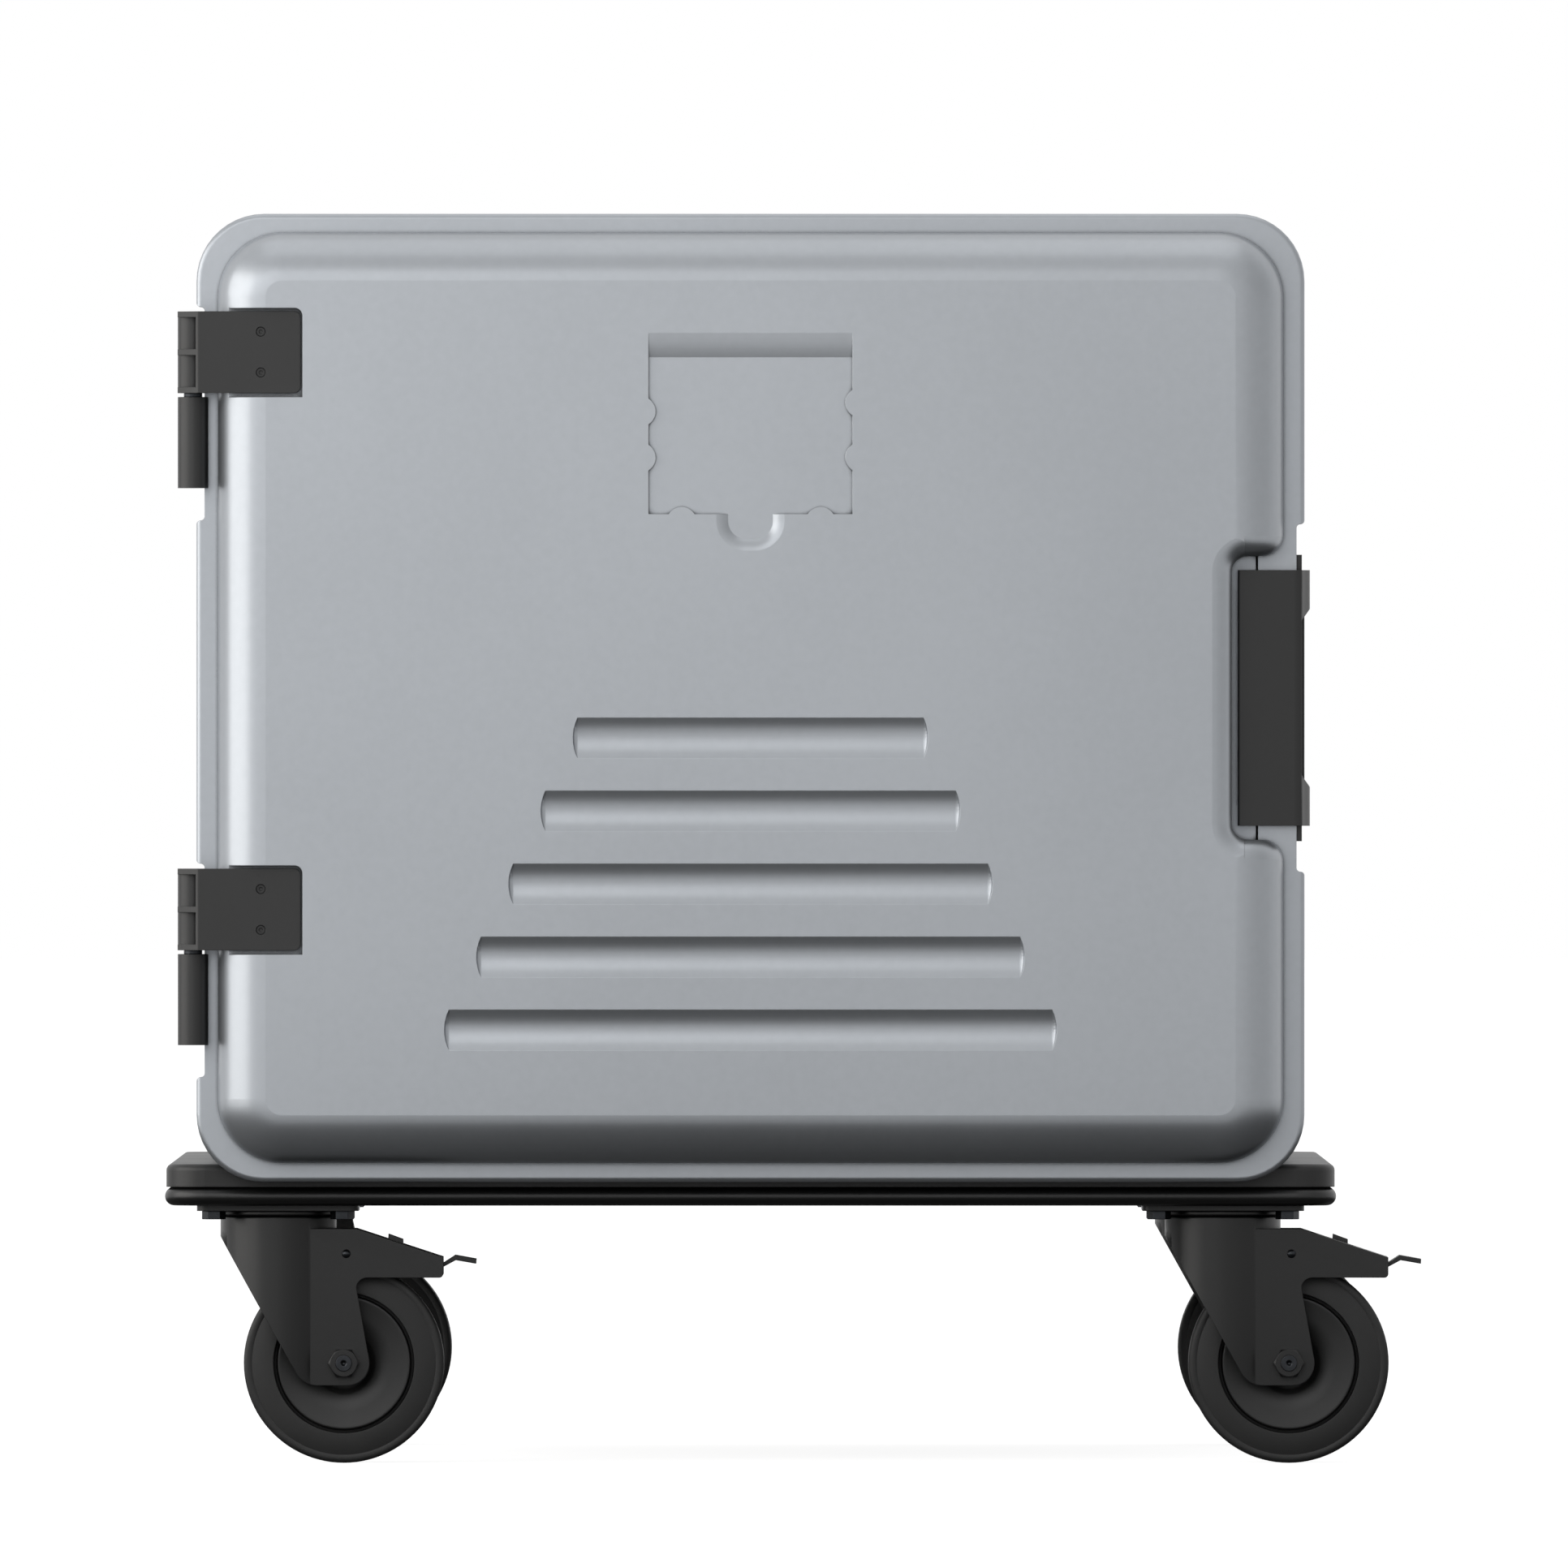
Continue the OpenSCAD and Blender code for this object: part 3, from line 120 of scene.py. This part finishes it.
class Graph:
    def __init__(self, owner):
        owner.use_nodes = True
        self.tree = owner.node_tree
        self.tree.nodes.clear()

    def node(self, kind, settings=None, inputs=None):
        made = self.tree.nodes.new(kind)
        for key, value in (settings or {}).items():
            setattr(made, key, value)
        for key, value in (inputs or {}).items():
            if isinstance(value, Term):
                self.tree.links.new(value.out, made.inputs[key])
            else:
                made.inputs[key].default_value = value
        return made

    def take(self, made, output=0):
        return Term(self, made.outputs[output])

    def maths(self, operation, a, b=0.0, clamp=False):
        settings = {"operation": operation, "use_clamp": clamp}
        return self.take(self.node("ShaderNodeMath", settings, {0: a, 1: b}))

    def mixColour(self, share, a, b):
        return self.take(self.node("ShaderNodeMix", {"data_type": "RGBA"}, {0: share, 6: a, 7: b}), 2)

    def place(self, stretch):
        coords = self.take(self.node("ShaderNodeTexCoord"), "Object")
        return self.take(self.node("ShaderNodeMapping", {}, {"Vector": coords, "Scale": stretch}))

    def noise(self, size, detail=2.0, rough=0.5, stretch=(1, 1, 1)):
        inputs = {"Vector": self.place(stretch), "Scale": 1 / size, "Detail": detail, "Roughness": rough}
        return self.take(self.node("ShaderNodeTexNoise", {}, inputs), "Fac")

    def step(self, value, low, high, bottom=0.0, top=1.0):
        inputs = {"Value": value, "From Min": low, "From Max": high, "To Min": bottom, "To Max": top}
        return self.take(self.node("ShaderNodeMapRange", {"interpolation_type": "SMOOTHSTEP"}, inputs))

    # 1 in the open, towards 0 in narrow gaps; used to paint shade into narrow gaps
    def openness(self, reach):
        inputs = {"Distance": reach}
        return self.take(self.node("ShaderNodeAmbientOcclusion", {"samples": 6}, inputs), "AO")

    # the rounded normal near an edge, and a share from 0 on a flat to 1 on a sharp edge
    def edgeShare(self, radius, flat=0.995, sharp=0.88):
        soft = self.take(self.node("ShaderNodeBevel", {"samples": 4}, {"Radius": radius}))
        true = self.take(self.node("ShaderNodeNewGeometry"), "Normal")
        dot = self.node("ShaderNodeVectorMath", {"operation": "DOT_PRODUCT"}, {0: soft, 1: true})
        return soft, self.step(self.take(dot, "Value"), flat, sharp)

    def axis(self, vector, name):
        return self.take(self.node("ShaderNodeSeparateXYZ", {}, {"Vector": vector}), name)


# a display grey from 0 to 255 with a small tint, as the linear colour a material takes
def grey(level, tint=(0, 0, 0)):
    parts = [(level + t) / 255 for t in tint]
    return tuple(((p + 0.055) / 1.055) ** 2.4 for p in parts) + (1,)


# what all finishes share: broad streaks, how worn marks follow the edges, painted shade in narrow gaps and
# a painted sheen on faces turned to one side
wearAndPaintedLightSettings = {
    "streakSize": 0.02, "streakStretch": (1, 1, 0.16), "speckSize": 5, "rubFrom": 0.55, "rubTo": 0.95,
    "toneFrom": 0.3, "toneTo": 0.7, "rubRough": 0.08, "shadeFrom": 0.62, "shadeTo": 0.40, "gapShadeColour": grey(14),
    "sheenTurnFrom": 0.42, "sheenTurnTo": 0.60, "coatRough": 0.3,
}

# every finish: its colour as seen in even light, its grain in metres and its worn edges; some also paint
# shade into narrow gaps or a sheen onto one side
finishes = {
    "body_plastic": {
        "colour": grey(171, (-3, 1, 6)), "worn": grey(190, (-1, 0, 2)), "patch": 0.04, "patchSize": 0.30,
        "rough": 0.34, "roughSwing": 0.04, "grain": 0.0011, "grainDepth": 0.000012, "metal": 0.7,
        # the gap values below paint near-black shade into narrow gaps
        "edge": 0.0006, "edgeWear": 0.35, "coat": 0.0, "paintedGapShade": 0.92, "gapReach": 0.005,
    },
    "liner_plastic": {
        "colour": grey(186, (-2, 0, 3)), "worn": grey(204), "patch": 0.05, "patchSize": 0.22,
        "rough": 0.46, "roughSwing": 0.06, "grain": 0.0014, "grainDepth": 0.000025, "metal": 0.0,
        "edge": 0.0010, "edgeWear": 0.3, "coat": 0.0,
    },
    "insulation": {
        "colour": grey(226, (4, 0, -26)), "worn": grey(236, (2, 0, -20)), "patch": 0.10, "patchSize": 0.05,
        "rough": 0.9, "roughSwing": 0.05, "grain": 0.0009, "grainDepth": 0.00018, "metal": 0.0,
        "edge": 0.0008, "edgeWear": 0.2, "coat": 0.0,
    },
    "seal_rubber": {
        "colour": grey(44), "worn": grey(66), "patch": 0.08, "patchSize": 0.04,
        "rough": 0.62, "roughSwing": 0.08, "grain": 0.0006, "grainDepth": 0.00002, "metal": 0.0,
        "edge": 0.0007, "edgeWear": 0.3, "coat": 0.0,
    },
    "hinge_plastic": {
        "colour": grey(28), "worn": grey(60), "patch": 0.07, "patchSize": 0.03,
        "rough": 0.40, "roughSwing": 0.07, "grain": 0.0007, "grainDepth": 0.000018, "metal": 0.0,
        "edge": 0.0005, "edgeWear": 0.45, "coat": 0.0,
    },
    "latch_plastic": {
        "colour": grey(16), "worn": grey(48), "patch": 0.07, "patchSize": 0.04,
        "rough": 0.38, "roughSwing": 0.07, "grain": 0.0007, "grainDepth": 0.000016, "metal": 0.0,
        "edge": 0.0006, "edgeWear": 0.4, "coat": 0.0,
        # the light grey below is a painted sheen on the latch ears' faces turned to the right, near the
        # front
        "paintedSideSheen": grey(196), "sideSheenReach": (-0.412, -0.424),
    },
    "dolly_plastic": {
        "colour": grey(20), "worn": grey(54), "patch": 0.08, "patchSize": 0.10,
        "rough": 0.42, "roughSwing": 0.08, "grain": 0.0010, "grainDepth": 0.000035, "metal": 0.0,
        "edge": 0.0010, "edgeWear": 0.35, "coat": 0.0,
    },
    "bumper_rubber": {
        "colour": grey(20), "worn": grey(50), "patch": 0.08, "patchSize": 0.05,
        "rough": 0.36, "roughSwing": 0.06, "grain": 0.0007, "grainDepth": 0.00002, "metal": 0.0,
        "edge": 0.0008, "edgeWear": 0.3, "coat": 0.0,
    },
    "core_plastic": {
        "colour": grey(34), "worn": grey(58), "patch": 0.07, "patchSize": 0.02,
        "rough": 0.42, "roughSwing": 0.07, "grain": 0.0008, "grainDepth": 0.00002, "metal": 0.0,
        "edge": 0.0005, "edgeWear": 0.3, "coat": 0.0,
    },
    "tyre_rubber": {
        "colour": grey(38), "worn": grey(60), "patch": 0.10, "patchSize": 0.03,
        "rough": 0.56, "roughSwing": 0.10, "grain": 0.0008, "grainDepth": 0.00003, "metal": 0.0,
        "edge": 0.0008, "edgeWear": 0.25, "coat": 0.0,
    },
    "dark_steel": {
        "colour": grey(26), "worn": grey(70), "patch": 0.07, "patchSize": 0.03,
        "rough": 0.36, "roughSwing": 0.07, "grain": 0.0005, "grainDepth": 0.000012, "metal": 0.25,
        "edge": 0.0006, "edgeWear": 0.4, "coat": 0.1,
    },
    "bright_steel": {
        "colour": grey(56, (-2, 0, 3)), "worn": grey(104), "patch": 0.12, "patchSize": 0.006,
        "rough": 0.34, "roughSwing": 0.10, "grain": 0.0003, "grainDepth": 0.000006, "metal": 0.9,
        "edge": 0.0003, "edgeWear": 0.3, "coat": 0.0,
    },
}


def makeFinish(name, s, wearAndPaintedLight):
    finish = bpy.data.materials.new(name)
    g = Graph(finish)
    soft, edge = g.edgeShare(s["edge"])
    patches = g.noise(s["patchSize"], detail=3.0)
    specks = g.noise(s["grain"] * wearAndPaintedLight["speckSize"], detail=2.0)
    streaks = g.noise(wearAndPaintedLight["streakSize"], detail=4.0, stretch=wearAndPaintedLight["streakStretch"])
    grain = g.noise(s["grain"], detail=1.0)
    worn = g.step(specks + 0.5 * patches, wearAndPaintedLight["rubFrom"], wearAndPaintedLight["rubTo"])
    rubbed = g.maths("MULTIPLY", edge, worn, clamp=True) * s["edgeWear"]
    light = tuple(c * (1 + s["patch"]) for c in s["colour"][:3]) + (1,)
    dark = tuple(c * (1 - s["patch"]) for c in s["colour"][:3]) + (1,)
    tone = g.mixColour(g.step(0.7 * patches + 0.3 * specks, wearAndPaintedLight["toneFrom"], wearAndPaintedLight["toneTo"]), dark, light)
    colour = g.mixColour(rubbed, tone, s["worn"])
    # painted sheen: faces turned towards +X within a band near the front are lightened, standing in for a
    # highlight
    if "paintedSideSheen" in s:
        across = g.axis(g.take(g.node("ShaderNodeTexCoord"), "Normal"), "X")
        depth = g.axis(g.place((1, 1, 1)), "Y")
        sheenShare = g.step(across, wearAndPaintedLight["sheenTurnFrom"], wearAndPaintedLight["sheenTurnTo"]) * g.step(depth, *s["sideSheenReach"])
        colour = g.mixColour(sheenShare, colour, s["paintedSideSheen"])
    # painted shade: where ambient occlusion finds a narrow gap, the colour is mixed towards near black
    if "paintedGapShade" in s:
        share = g.step(g.openness(s["gapReach"]), wearAndPaintedLight["shadeFrom"], wearAndPaintedLight["shadeTo"], 0.0, s["paintedGapShade"])
        colour = g.mixColour(share, colour, wearAndPaintedLight["gapShadeColour"])
    rough = s["rough"] + s["roughSwing"] * (0.6 * patches + 0.4 * streaks - 0.5) * 2
    height = grain * (1 - 0.7 * edge) + 0.6 * specks
    bumps = {"Strength": 1.0, "Distance": s["grainDepth"], "Height": height, "Normal": soft}
    bump = g.node("ShaderNodeBump", {}, bumps)
    inputs = {
        "Base Color": colour, "Roughness": rough + wearAndPaintedLight["rubRough"] * rubbed, "Metallic": s["metal"],
        "Coat Weight": s["coat"], "Coat Roughness": wearAndPaintedLight["coatRough"], "Normal": g.take(bump),
    }
    shader = g.node("ShaderNodeBsdfPrincipled", {}, inputs)
    g.node("ShaderNodeOutputMaterial", {}, {"Surface": g.take(shader)})
    return finish


materials = {name: makeFinish(name, settings, wearAndPaintedLightSettings) for name, settings in finishes.items()}
slotOf = {part["node"]: part["material_slot"] for part in frame["record"]["subparts"]}
for name, item in nodes.items():
    for place in item.material_slots:
        place.material = materials[slotOf[name]]
print("finishes made:", len(materials))


def letGo():
    if bpy.context.mode != "OBJECT":
        bpy.ops.object.mode_set(mode="OBJECT")
    bpy.ops.object.select_all(action="DESELECT")


def choose(item):
    letGo()
    item.select_set(True)
    bpy.context.view_layer.objects.active = item


def settle(item):
    choose(item)
    bpy.ops.object.transform_apply(location=True, rotation=True, scale=True)


# in edit mode: the faces whose middle and normal pass the test
def pickFaces(item, test):
    bpy.ops.mesh.select_mode(type="FACE")
    bpy.ops.mesh.select_all(action="DESELECT")
    bpy.ops.object.mode_set(mode="OBJECT")
    for face in item.data.polygons:
        face.select = test(face.center, face.normal)
    bpy.ops.object.mode_set(mode="EDIT")


# in edit mode: the edges whose two ends pass the test
def pickEdges(item, test):
    bpy.ops.mesh.select_mode(type="EDGE")
    bpy.ops.mesh.select_all(action="DESELECT")
    bpy.ops.object.mode_set(mode="OBJECT")
    points = item.data.vertices
    for edge in item.data.edges:
        edge.select = test(points[edge.vertices[0]].co, points[edge.vertices[1]].co)
    bpy.ops.object.mode_set(mode="EDIT")


def applyModifier(item, kind, **settings):
    choose(item)
    modifier = item.modifiers.new(kind.lower(), kind)
    for key, value in settings.items():
        setattr(modifier, key, value)
    bpy.ops.object.modifier_apply(modifier=modifier.name)


def smooth(item, degrees):
    choose(item)
    bpy.ops.object.shade_smooth_by_angle(angle=math.radians(degrees))


def dress(item, name, slotName, body, *replaced):
    item.name = name
    item.data.name = name
    item.data.materials.clear()
    item.data.materials.append(materials[slotName])
    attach(item, body)
    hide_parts(*replaced)
    return item


copySettings = {"weld": 0.001, "flatAngle": 0.6, "edgeAngle": 32, "sharpAngle": 38}


# a CAD node's own mesh as a new piece, with the flat faces joined again
def copyNode(name, s=copySettings):
    choose(nodes[name])
    bpy.ops.object.duplicate(linked=False)
    piece = bpy.context.active_object
    bpy.ops.object.parent_clear(type="CLEAR")
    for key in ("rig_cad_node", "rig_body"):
        if key in piece:
            del piece[key]
    bpy.ops.mesh.customdata_custom_splitnormals_clear()
    bpy.ops.object.mode_set(mode="EDIT")
    bpy.ops.mesh.select_all(action="SELECT")
    bpy.ops.mesh.remove_doubles(threshold=mm(s["weld"]))
    bpy.ops.mesh.dissolve_limited(angle_limit=math.radians(s["flatAngle"]))
    bpy.ops.object.mode_set(mode="OBJECT")
    return piece


# pieces whose edges are broken by a small radius in mm, as moulded and pressed pieces are
softEdges = {
    "hinge_leaf_upper": ("door", 0.7), "hinge_leaf_lower": ("door", 0.7),
    "hinge_bracket_upper": ("cart", 0.5), "hinge_bracket_lower": ("cart", 0.5),
    "hinge_pin_upper": ("cart", 0.3), "hinge_pin_lower": ("cart", 0.3),
    "leaf_screws": ("door", 0.15), "bracket_screws": ("cart", 0.25),
    "latch_handle": ("latch", 0.6), "latch_mount": ("door", 0.25), "latch_pin": ("door", 0.3),
    "latch_keeper": ("cart", 0.5), "keeper_screws": ("cart", 0.12), "latch_mount_screws": ("door", 0.1),
    "caster_bolts": ("cart", 0.4), "door_seal": ("door", 0.8),
}
for corner in corners:
    softEdges["caster_plate_" + corner] = ("cart", 0.5)
    softEdges["ball_race_" + corner] = ("cart", 0.8)
    softEdges["axle_bolt_" + corner] = ("caster_" + corner, 0.3)
    softEdges["axle_nut_" + corner] = ("caster_" + corner, 0.3)
for corner in brakedCorners:
    softEdges["brake_pedal_" + corner] = ("pedal_" + corner, 0.35)
    softEdges["brake_pin_" + corner] = ("caster_" + corner, 0.2)


def breakEdges(item, width, degrees):
    applyModifier(
        item, "BEVEL", width=mm(width), segments=2, limit_method="ANGLE", angle_limit=math.radians(degrees)
    )


def weighNormals(item):
    applyModifier(item, "WEIGHTED_NORMAL", keep_sharp=True, weight=60)


def softenNode(name, body, width, s):
    piece = copyNode(name)
    breakEdges(piece, width, s["edgeAngle"])
    smooth(piece, s["sharpAngle"])
    weighNormals(piece)
    return dress(piece, "soft_" + name, slotOf[name], body, name)


for name, (body, width) in softEdges.items():
    softenNode(name, body, width, copySettings)
print("softened pieces:", len(softEdges))


# tyre: a band with round shoulders and a shallow moulded line round each side
tyreSettings = {
    "around": 96, "coreRadius": 44.0, "shoulder": 2.6, "sideLine": 2.0, "lineWidth": 0.5, "lineDepth": 0.25,
    "sharpAngle": 32,
}


def isEndFace(centre, normal):
    return abs(normal.y) > 0.9


def modelTyre(corner, s):
    low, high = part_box("tyre_" + corner)
    middle = (low + high) / 2
    radius, width = (high.x - low.x) / 2, high.y - low.y
    letGo()
    bpy.ops.mesh.primitive_cylinder_add(
        vertices=s["around"], radius=radius, depth=width, location=middle, rotation=(math.radians(90), 0, 0)
    )
    tyre = bpy.context.active_object
    settle(tyre)
    side = width / 2 - mm(0.1)

    def onSide(point, nearest, farthest):
        away = math.hypot(point.x - middle.x, point.z - middle.z)
        return nearest < away < farthest and abs(point.y - middle.y) > side

    bpy.ops.object.mode_set(mode="EDIT")
    pickFaces(tyre, isEndFace)
    bpy.ops.mesh.inset(thickness=mm(s["shoulder"] + s["sideLine"]), depth=0)
    bpy.ops.mesh.inset(thickness=mm(s["lineWidth"]), depth=-mm(s["lineDepth"]))
    bpy.ops.mesh.inset(thickness=mm(s["lineWidth"]), depth=mm(s["lineDepth"]))
    used = s["shoulder"] + s["sideLine"] + 2 * s["lineWidth"]
    bpy.ops.mesh.inset(thickness=radius - mm(s["coreRadius"] + used), depth=0)
    bpy.ops.mesh.delete(type="FACE")
    inner, outer = mm(s["coreRadius"] + 0.5), radius * 0.99
    pickEdges(tyre, lambda a, b: onSide(a, 0, inner) and onSide(b, 0, inner))
    bpy.ops.mesh.bridge_edge_loops()
    pickEdges(tyre, lambda a, b: onSide(a, outer, 1) and onSide(b, outer, 1) and abs(a.y - b.y) < mm(1))
    bpy.ops.mesh.bevel(offset=mm(s["shoulder"]), segments=4, profile=0.5)
    bpy.ops.object.mode_set(mode="OBJECT")
    smooth(tyre, s["sharpAngle"])
    return dress(tyre, "tyreBand_" + corner, "tyre_rubber", "wheel_" + corner, "tyre_" + corner)


# wheel core: each step insets the end faces and moves them out along the axle
coreSettings = {
    "around": 96, "halfWidth": 12.0, "radius": 44.0, "bore": 5.05, "edge": 0.35, "edgeAngle": 28,
    "sharpAngle": 34,
    "steps": [
        (2.0, 0.0), (0.3, 5.0), (0.8, 0.6), (1.4, -0.2), (8.8, -0.9), (10.5, -0.9),
        (1.5, -0.9), (2.2, -2.4), (2.0, -0.3), (1.5, 1.0), (0.6, 12.7), (0.6, 0.5),
    ],
}


def modelCore(corner, s):
    low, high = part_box("tyre_" + corner)
    middle = (low + high) / 2
    letGo()
    bpy.ops.mesh.primitive_cylinder_add(
        vertices=s["around"], radius=mm(s["radius"]), depth=mm(2 * s["halfWidth"]), location=middle,
        rotation=(math.radians(90), 0, 0),
    )
    core = bpy.context.active_object
    settle(core)
    bpy.ops.object.mode_set(mode="EDIT")
    pickFaces(core, isEndFace)
    left = s["radius"]
    for inward, outward in s["steps"]:
        bpy.ops.mesh.inset(thickness=mm(inward), depth=mm(outward))
        left -= inward
    bpy.ops.mesh.inset(thickness=mm(left - s["bore"]), depth=0)
    bpy.ops.mesh.delete(type="FACE")
    bore = mm(s["bore"] + 0.3)
    pickEdges(core, lambda a, b: all(
        math.hypot(p.x - middle.x, p.z - middle.z) < bore for p in (a, b)
    ))
    bpy.ops.mesh.bridge_edge_loops()
    bpy.ops.object.mode_set(mode="OBJECT")
    breakEdges(core, s["edge"], s["edgeAngle"])
    smooth(core, s["sharpAngle"])
    return dress(core, "wheelDisc_" + corner, "core_plastic", "wheel_" + corner, "wheel_core_" + corner)


for corner in corners:
    modelTyre(corner, tyreSettings)
    modelCore(corner, coreSettings)
print("wheels modelled")


# fork: the top face's outer edges, and on the braked forks also the pressed bends over the wheel, are
# rounded more than its cut edges
forkSettings = {
    "bend": 2.0, "edge": 0.35, "neckEdge": 1.6, "neckRadius": 30, "halfWidth": 30, "housingFrom": 120,
    "shortest": 5, "sharpAngle": 40,
}


def modelFork(corner, braked, s):
    fork = copyNode("fork_" + corner)
    low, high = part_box("fork_" + corner)
    cheek = (high.y - low.y) / 2
    middle = (high.y + low.y) / 2
    neckX = low.x + cheek
    half = mm(s["halfWidth"])

    def onNeckEdge(a, b):
        away = math.hypot(a.x - neckX, a.y - middle)
        return min(a.z, b.z) > high.z - mm(0.01) and away > mm(s["neckRadius"])

    def onBend(a, b):
        outer = all(abs(abs(p.y - middle) - half) < mm(0.02) and p.z > mm(s["housingFrom"]) for p in (a, b))
        return outer and (a.y - middle) * (b.y - middle) > 0 and abs(a.x - b.x) > mm(s["shortest"])

    bpy.ops.object.mode_set(mode="EDIT")
    pickEdges(fork, onNeckEdge)
    bpy.ops.mesh.bevel(offset=mm(s["neckEdge"]), segments=3)
    if braked:
        pickEdges(fork, onBend)
        bpy.ops.mesh.bevel(offset=mm(s["bend"]), segments=4, clamp_overlap=True)
        bpy.ops.mesh.select_all(action="SELECT")
        bpy.ops.mesh.remove_doubles(threshold=mm(0.01))
        bpy.ops.mesh.normals_make_consistent(inside=False)
    bpy.ops.object.mode_set(mode="OBJECT")
    breakEdges(fork, s["edge"], s["sharpAngle"])
    smooth(fork, s["sharpAngle"])
    weighNormals(fork)
    return dress(fork, "pressedFork_" + corner, "dark_steel", "caster_" + corner, "fork_" + corner)


for corner in corners:
    modelFork(corner, corner in brakedCorners, forkSettings)
print("forks modelled")


# plain pale floor: white to the camera, with the cart's shadow kept; darker round the cart in reflections
floorSettings = {
    "size": 120, "pale": 0.8, "glow": 0.88, "matt": 0.12, "nearDark": 0.07, "farLight": 0.95,
    "darkReach": (1.0, 1.9),
}


# 1 where the camera sees a surface itself, also through clear things
def seenShare(g, path):
    return g.maths("MAXIMUM", g.take(path, "Is Camera Ray"), g.take(path, "Is Transmission Ray"))


def plainGrey(level):
    return (level, level, level, 1)


def makeFloor(s):
    letGo()
    bpy.ops.mesh.primitive_plane_add(size=s["size"], location=(0, 0, 0))
    floor = bpy.context.active_object
    floor.name = "studioFloor"
    finish = bpy.data.materials.new("studioFloor")
    g = Graph(finish)
    path = g.node("ShaderNodeLightPath")
    seen = seenShare(g, path)
    away = g.node("ShaderNodeVectorMath", {"operation": "LENGTH"}, {0: g.place((1, 1, 1))})
    mirrored = g.step(g.take(away, "Value"), *s["darkReach"], s["nearDark"], s["farLight"])
    pale = g.node("ShaderNodeBsdfDiffuse", {}, {"Color": plainGrey(s["pale"])})
    glow = g.node("ShaderNodeEmission", {}, {"Color": plainGrey(1), "Strength": s["glow"]})
    both = g.node("ShaderNodeAddShader", {}, {0: g.take(pale), 1: g.take(glow)})
    matt = g.node("ShaderNodeBsdfDiffuse", {}, {"Color": plainGrey(s["matt"])})
    sheen = g.node("ShaderNodeEmission", {}, {"Color": plainGrey(1), "Strength": mirrored})
    glossy = g.take(path, "Is Glossy Ray")
    unseen = g.node("ShaderNodeMixShader", {}, {0: glossy, 1: g.take(matt), 2: g.take(sheen)})
    mixed = g.node("ShaderNodeMixShader", {}, {0: seen, 1: g.take(unseen), 2: g.take(both)})
    g.node("ShaderNodeOutputMaterial", {}, {"Surface": g.take(mixed)})
    floor.data.materials.append(finish)


# white behind the cart and in its reflections, dimmer to the right of the camera
worldSettings = {
    "fill": 0.30, "mirrored": 1.0, "rightShade": 0.26, "rightReach": (0.2, 0.85), "frontReach": (0.3, -0.2),
}


def makeWorld(s):
    world = bpy.data.worlds.new("studioWorld")
    bpy.context.scene.world = world
    g = Graph(world)
    path = g.node("ShaderNodeLightPath")
    seen = seenShare(g, path)
    coords = g.take(g.node("ShaderNodeTexCoord"), "Generated")
    shade = g.step(g.axis(coords, "X"), *s["rightReach"]) * g.step(g.axis(coords, "Y"), *s["frontReach"])
    mirrored = s["mirrored"] * (1 - s["rightShade"] * shade)
    unseen = s["fill"] + g.take(path, "Is Glossy Ray") * (mirrored - s["fill"])
    strength = unseen + seen * (1 - unseen)
    sky = g.node("ShaderNodeBackground", {}, {"Color": plainGrey(1), "Strength": strength})
    g.node("ShaderNodeOutputWorld", {}, {"Surface": g.take(sky)})


lamps = {
    "frontSoftbox": {
        "place": (-1.5, -3.7, 1.5), "aim": (-0.3, -0.4, 0.6), "size": (3.2, 1.9), "power": 23,
        "colour": (1, 1, 1),
    },
    "leftSoftbox": {
        "place": (-2.55, -1.2, 1.0), "aim": (-0.3, -0.4, 0.5), "size": (2.7, 2.2), "power": 38,
        "colour": (1, 0.98, 0.945),
    },
    "topSoftbox": {
        "place": (0, -0.3, 3.6), "aim": (0, 0, 0.5), "size": (3.0, 3.0), "power": 12,
        "colour": (1, 1, 1),
    },
}


def placeLamp(name, s):
    data = bpy.data.lights.new(name, "AREA")
    data.shape = "RECTANGLE"
    data.size, data.size_y = s["size"]
    data.energy = s["power"]
    data.color = s["colour"]
    lamp = bpy.data.objects.new(name, data)
    bpy.context.scene.collection.objects.link(lamp)
    lamp.location = s["place"]
    lamp.rotation_euler = (Vector(s["aim"]) - Vector(s["place"])).to_track_quat("-Z", "Y").to_euler()
    lamp.visible_camera = False


makeFloor(floorSettings)
makeWorld(worldSettings)
for name, settings in lamps.items():
    placeLamp(name, settings)
bpy.context.scene.view_settings.view_transform = "Standard"
print("stage and lamps set")
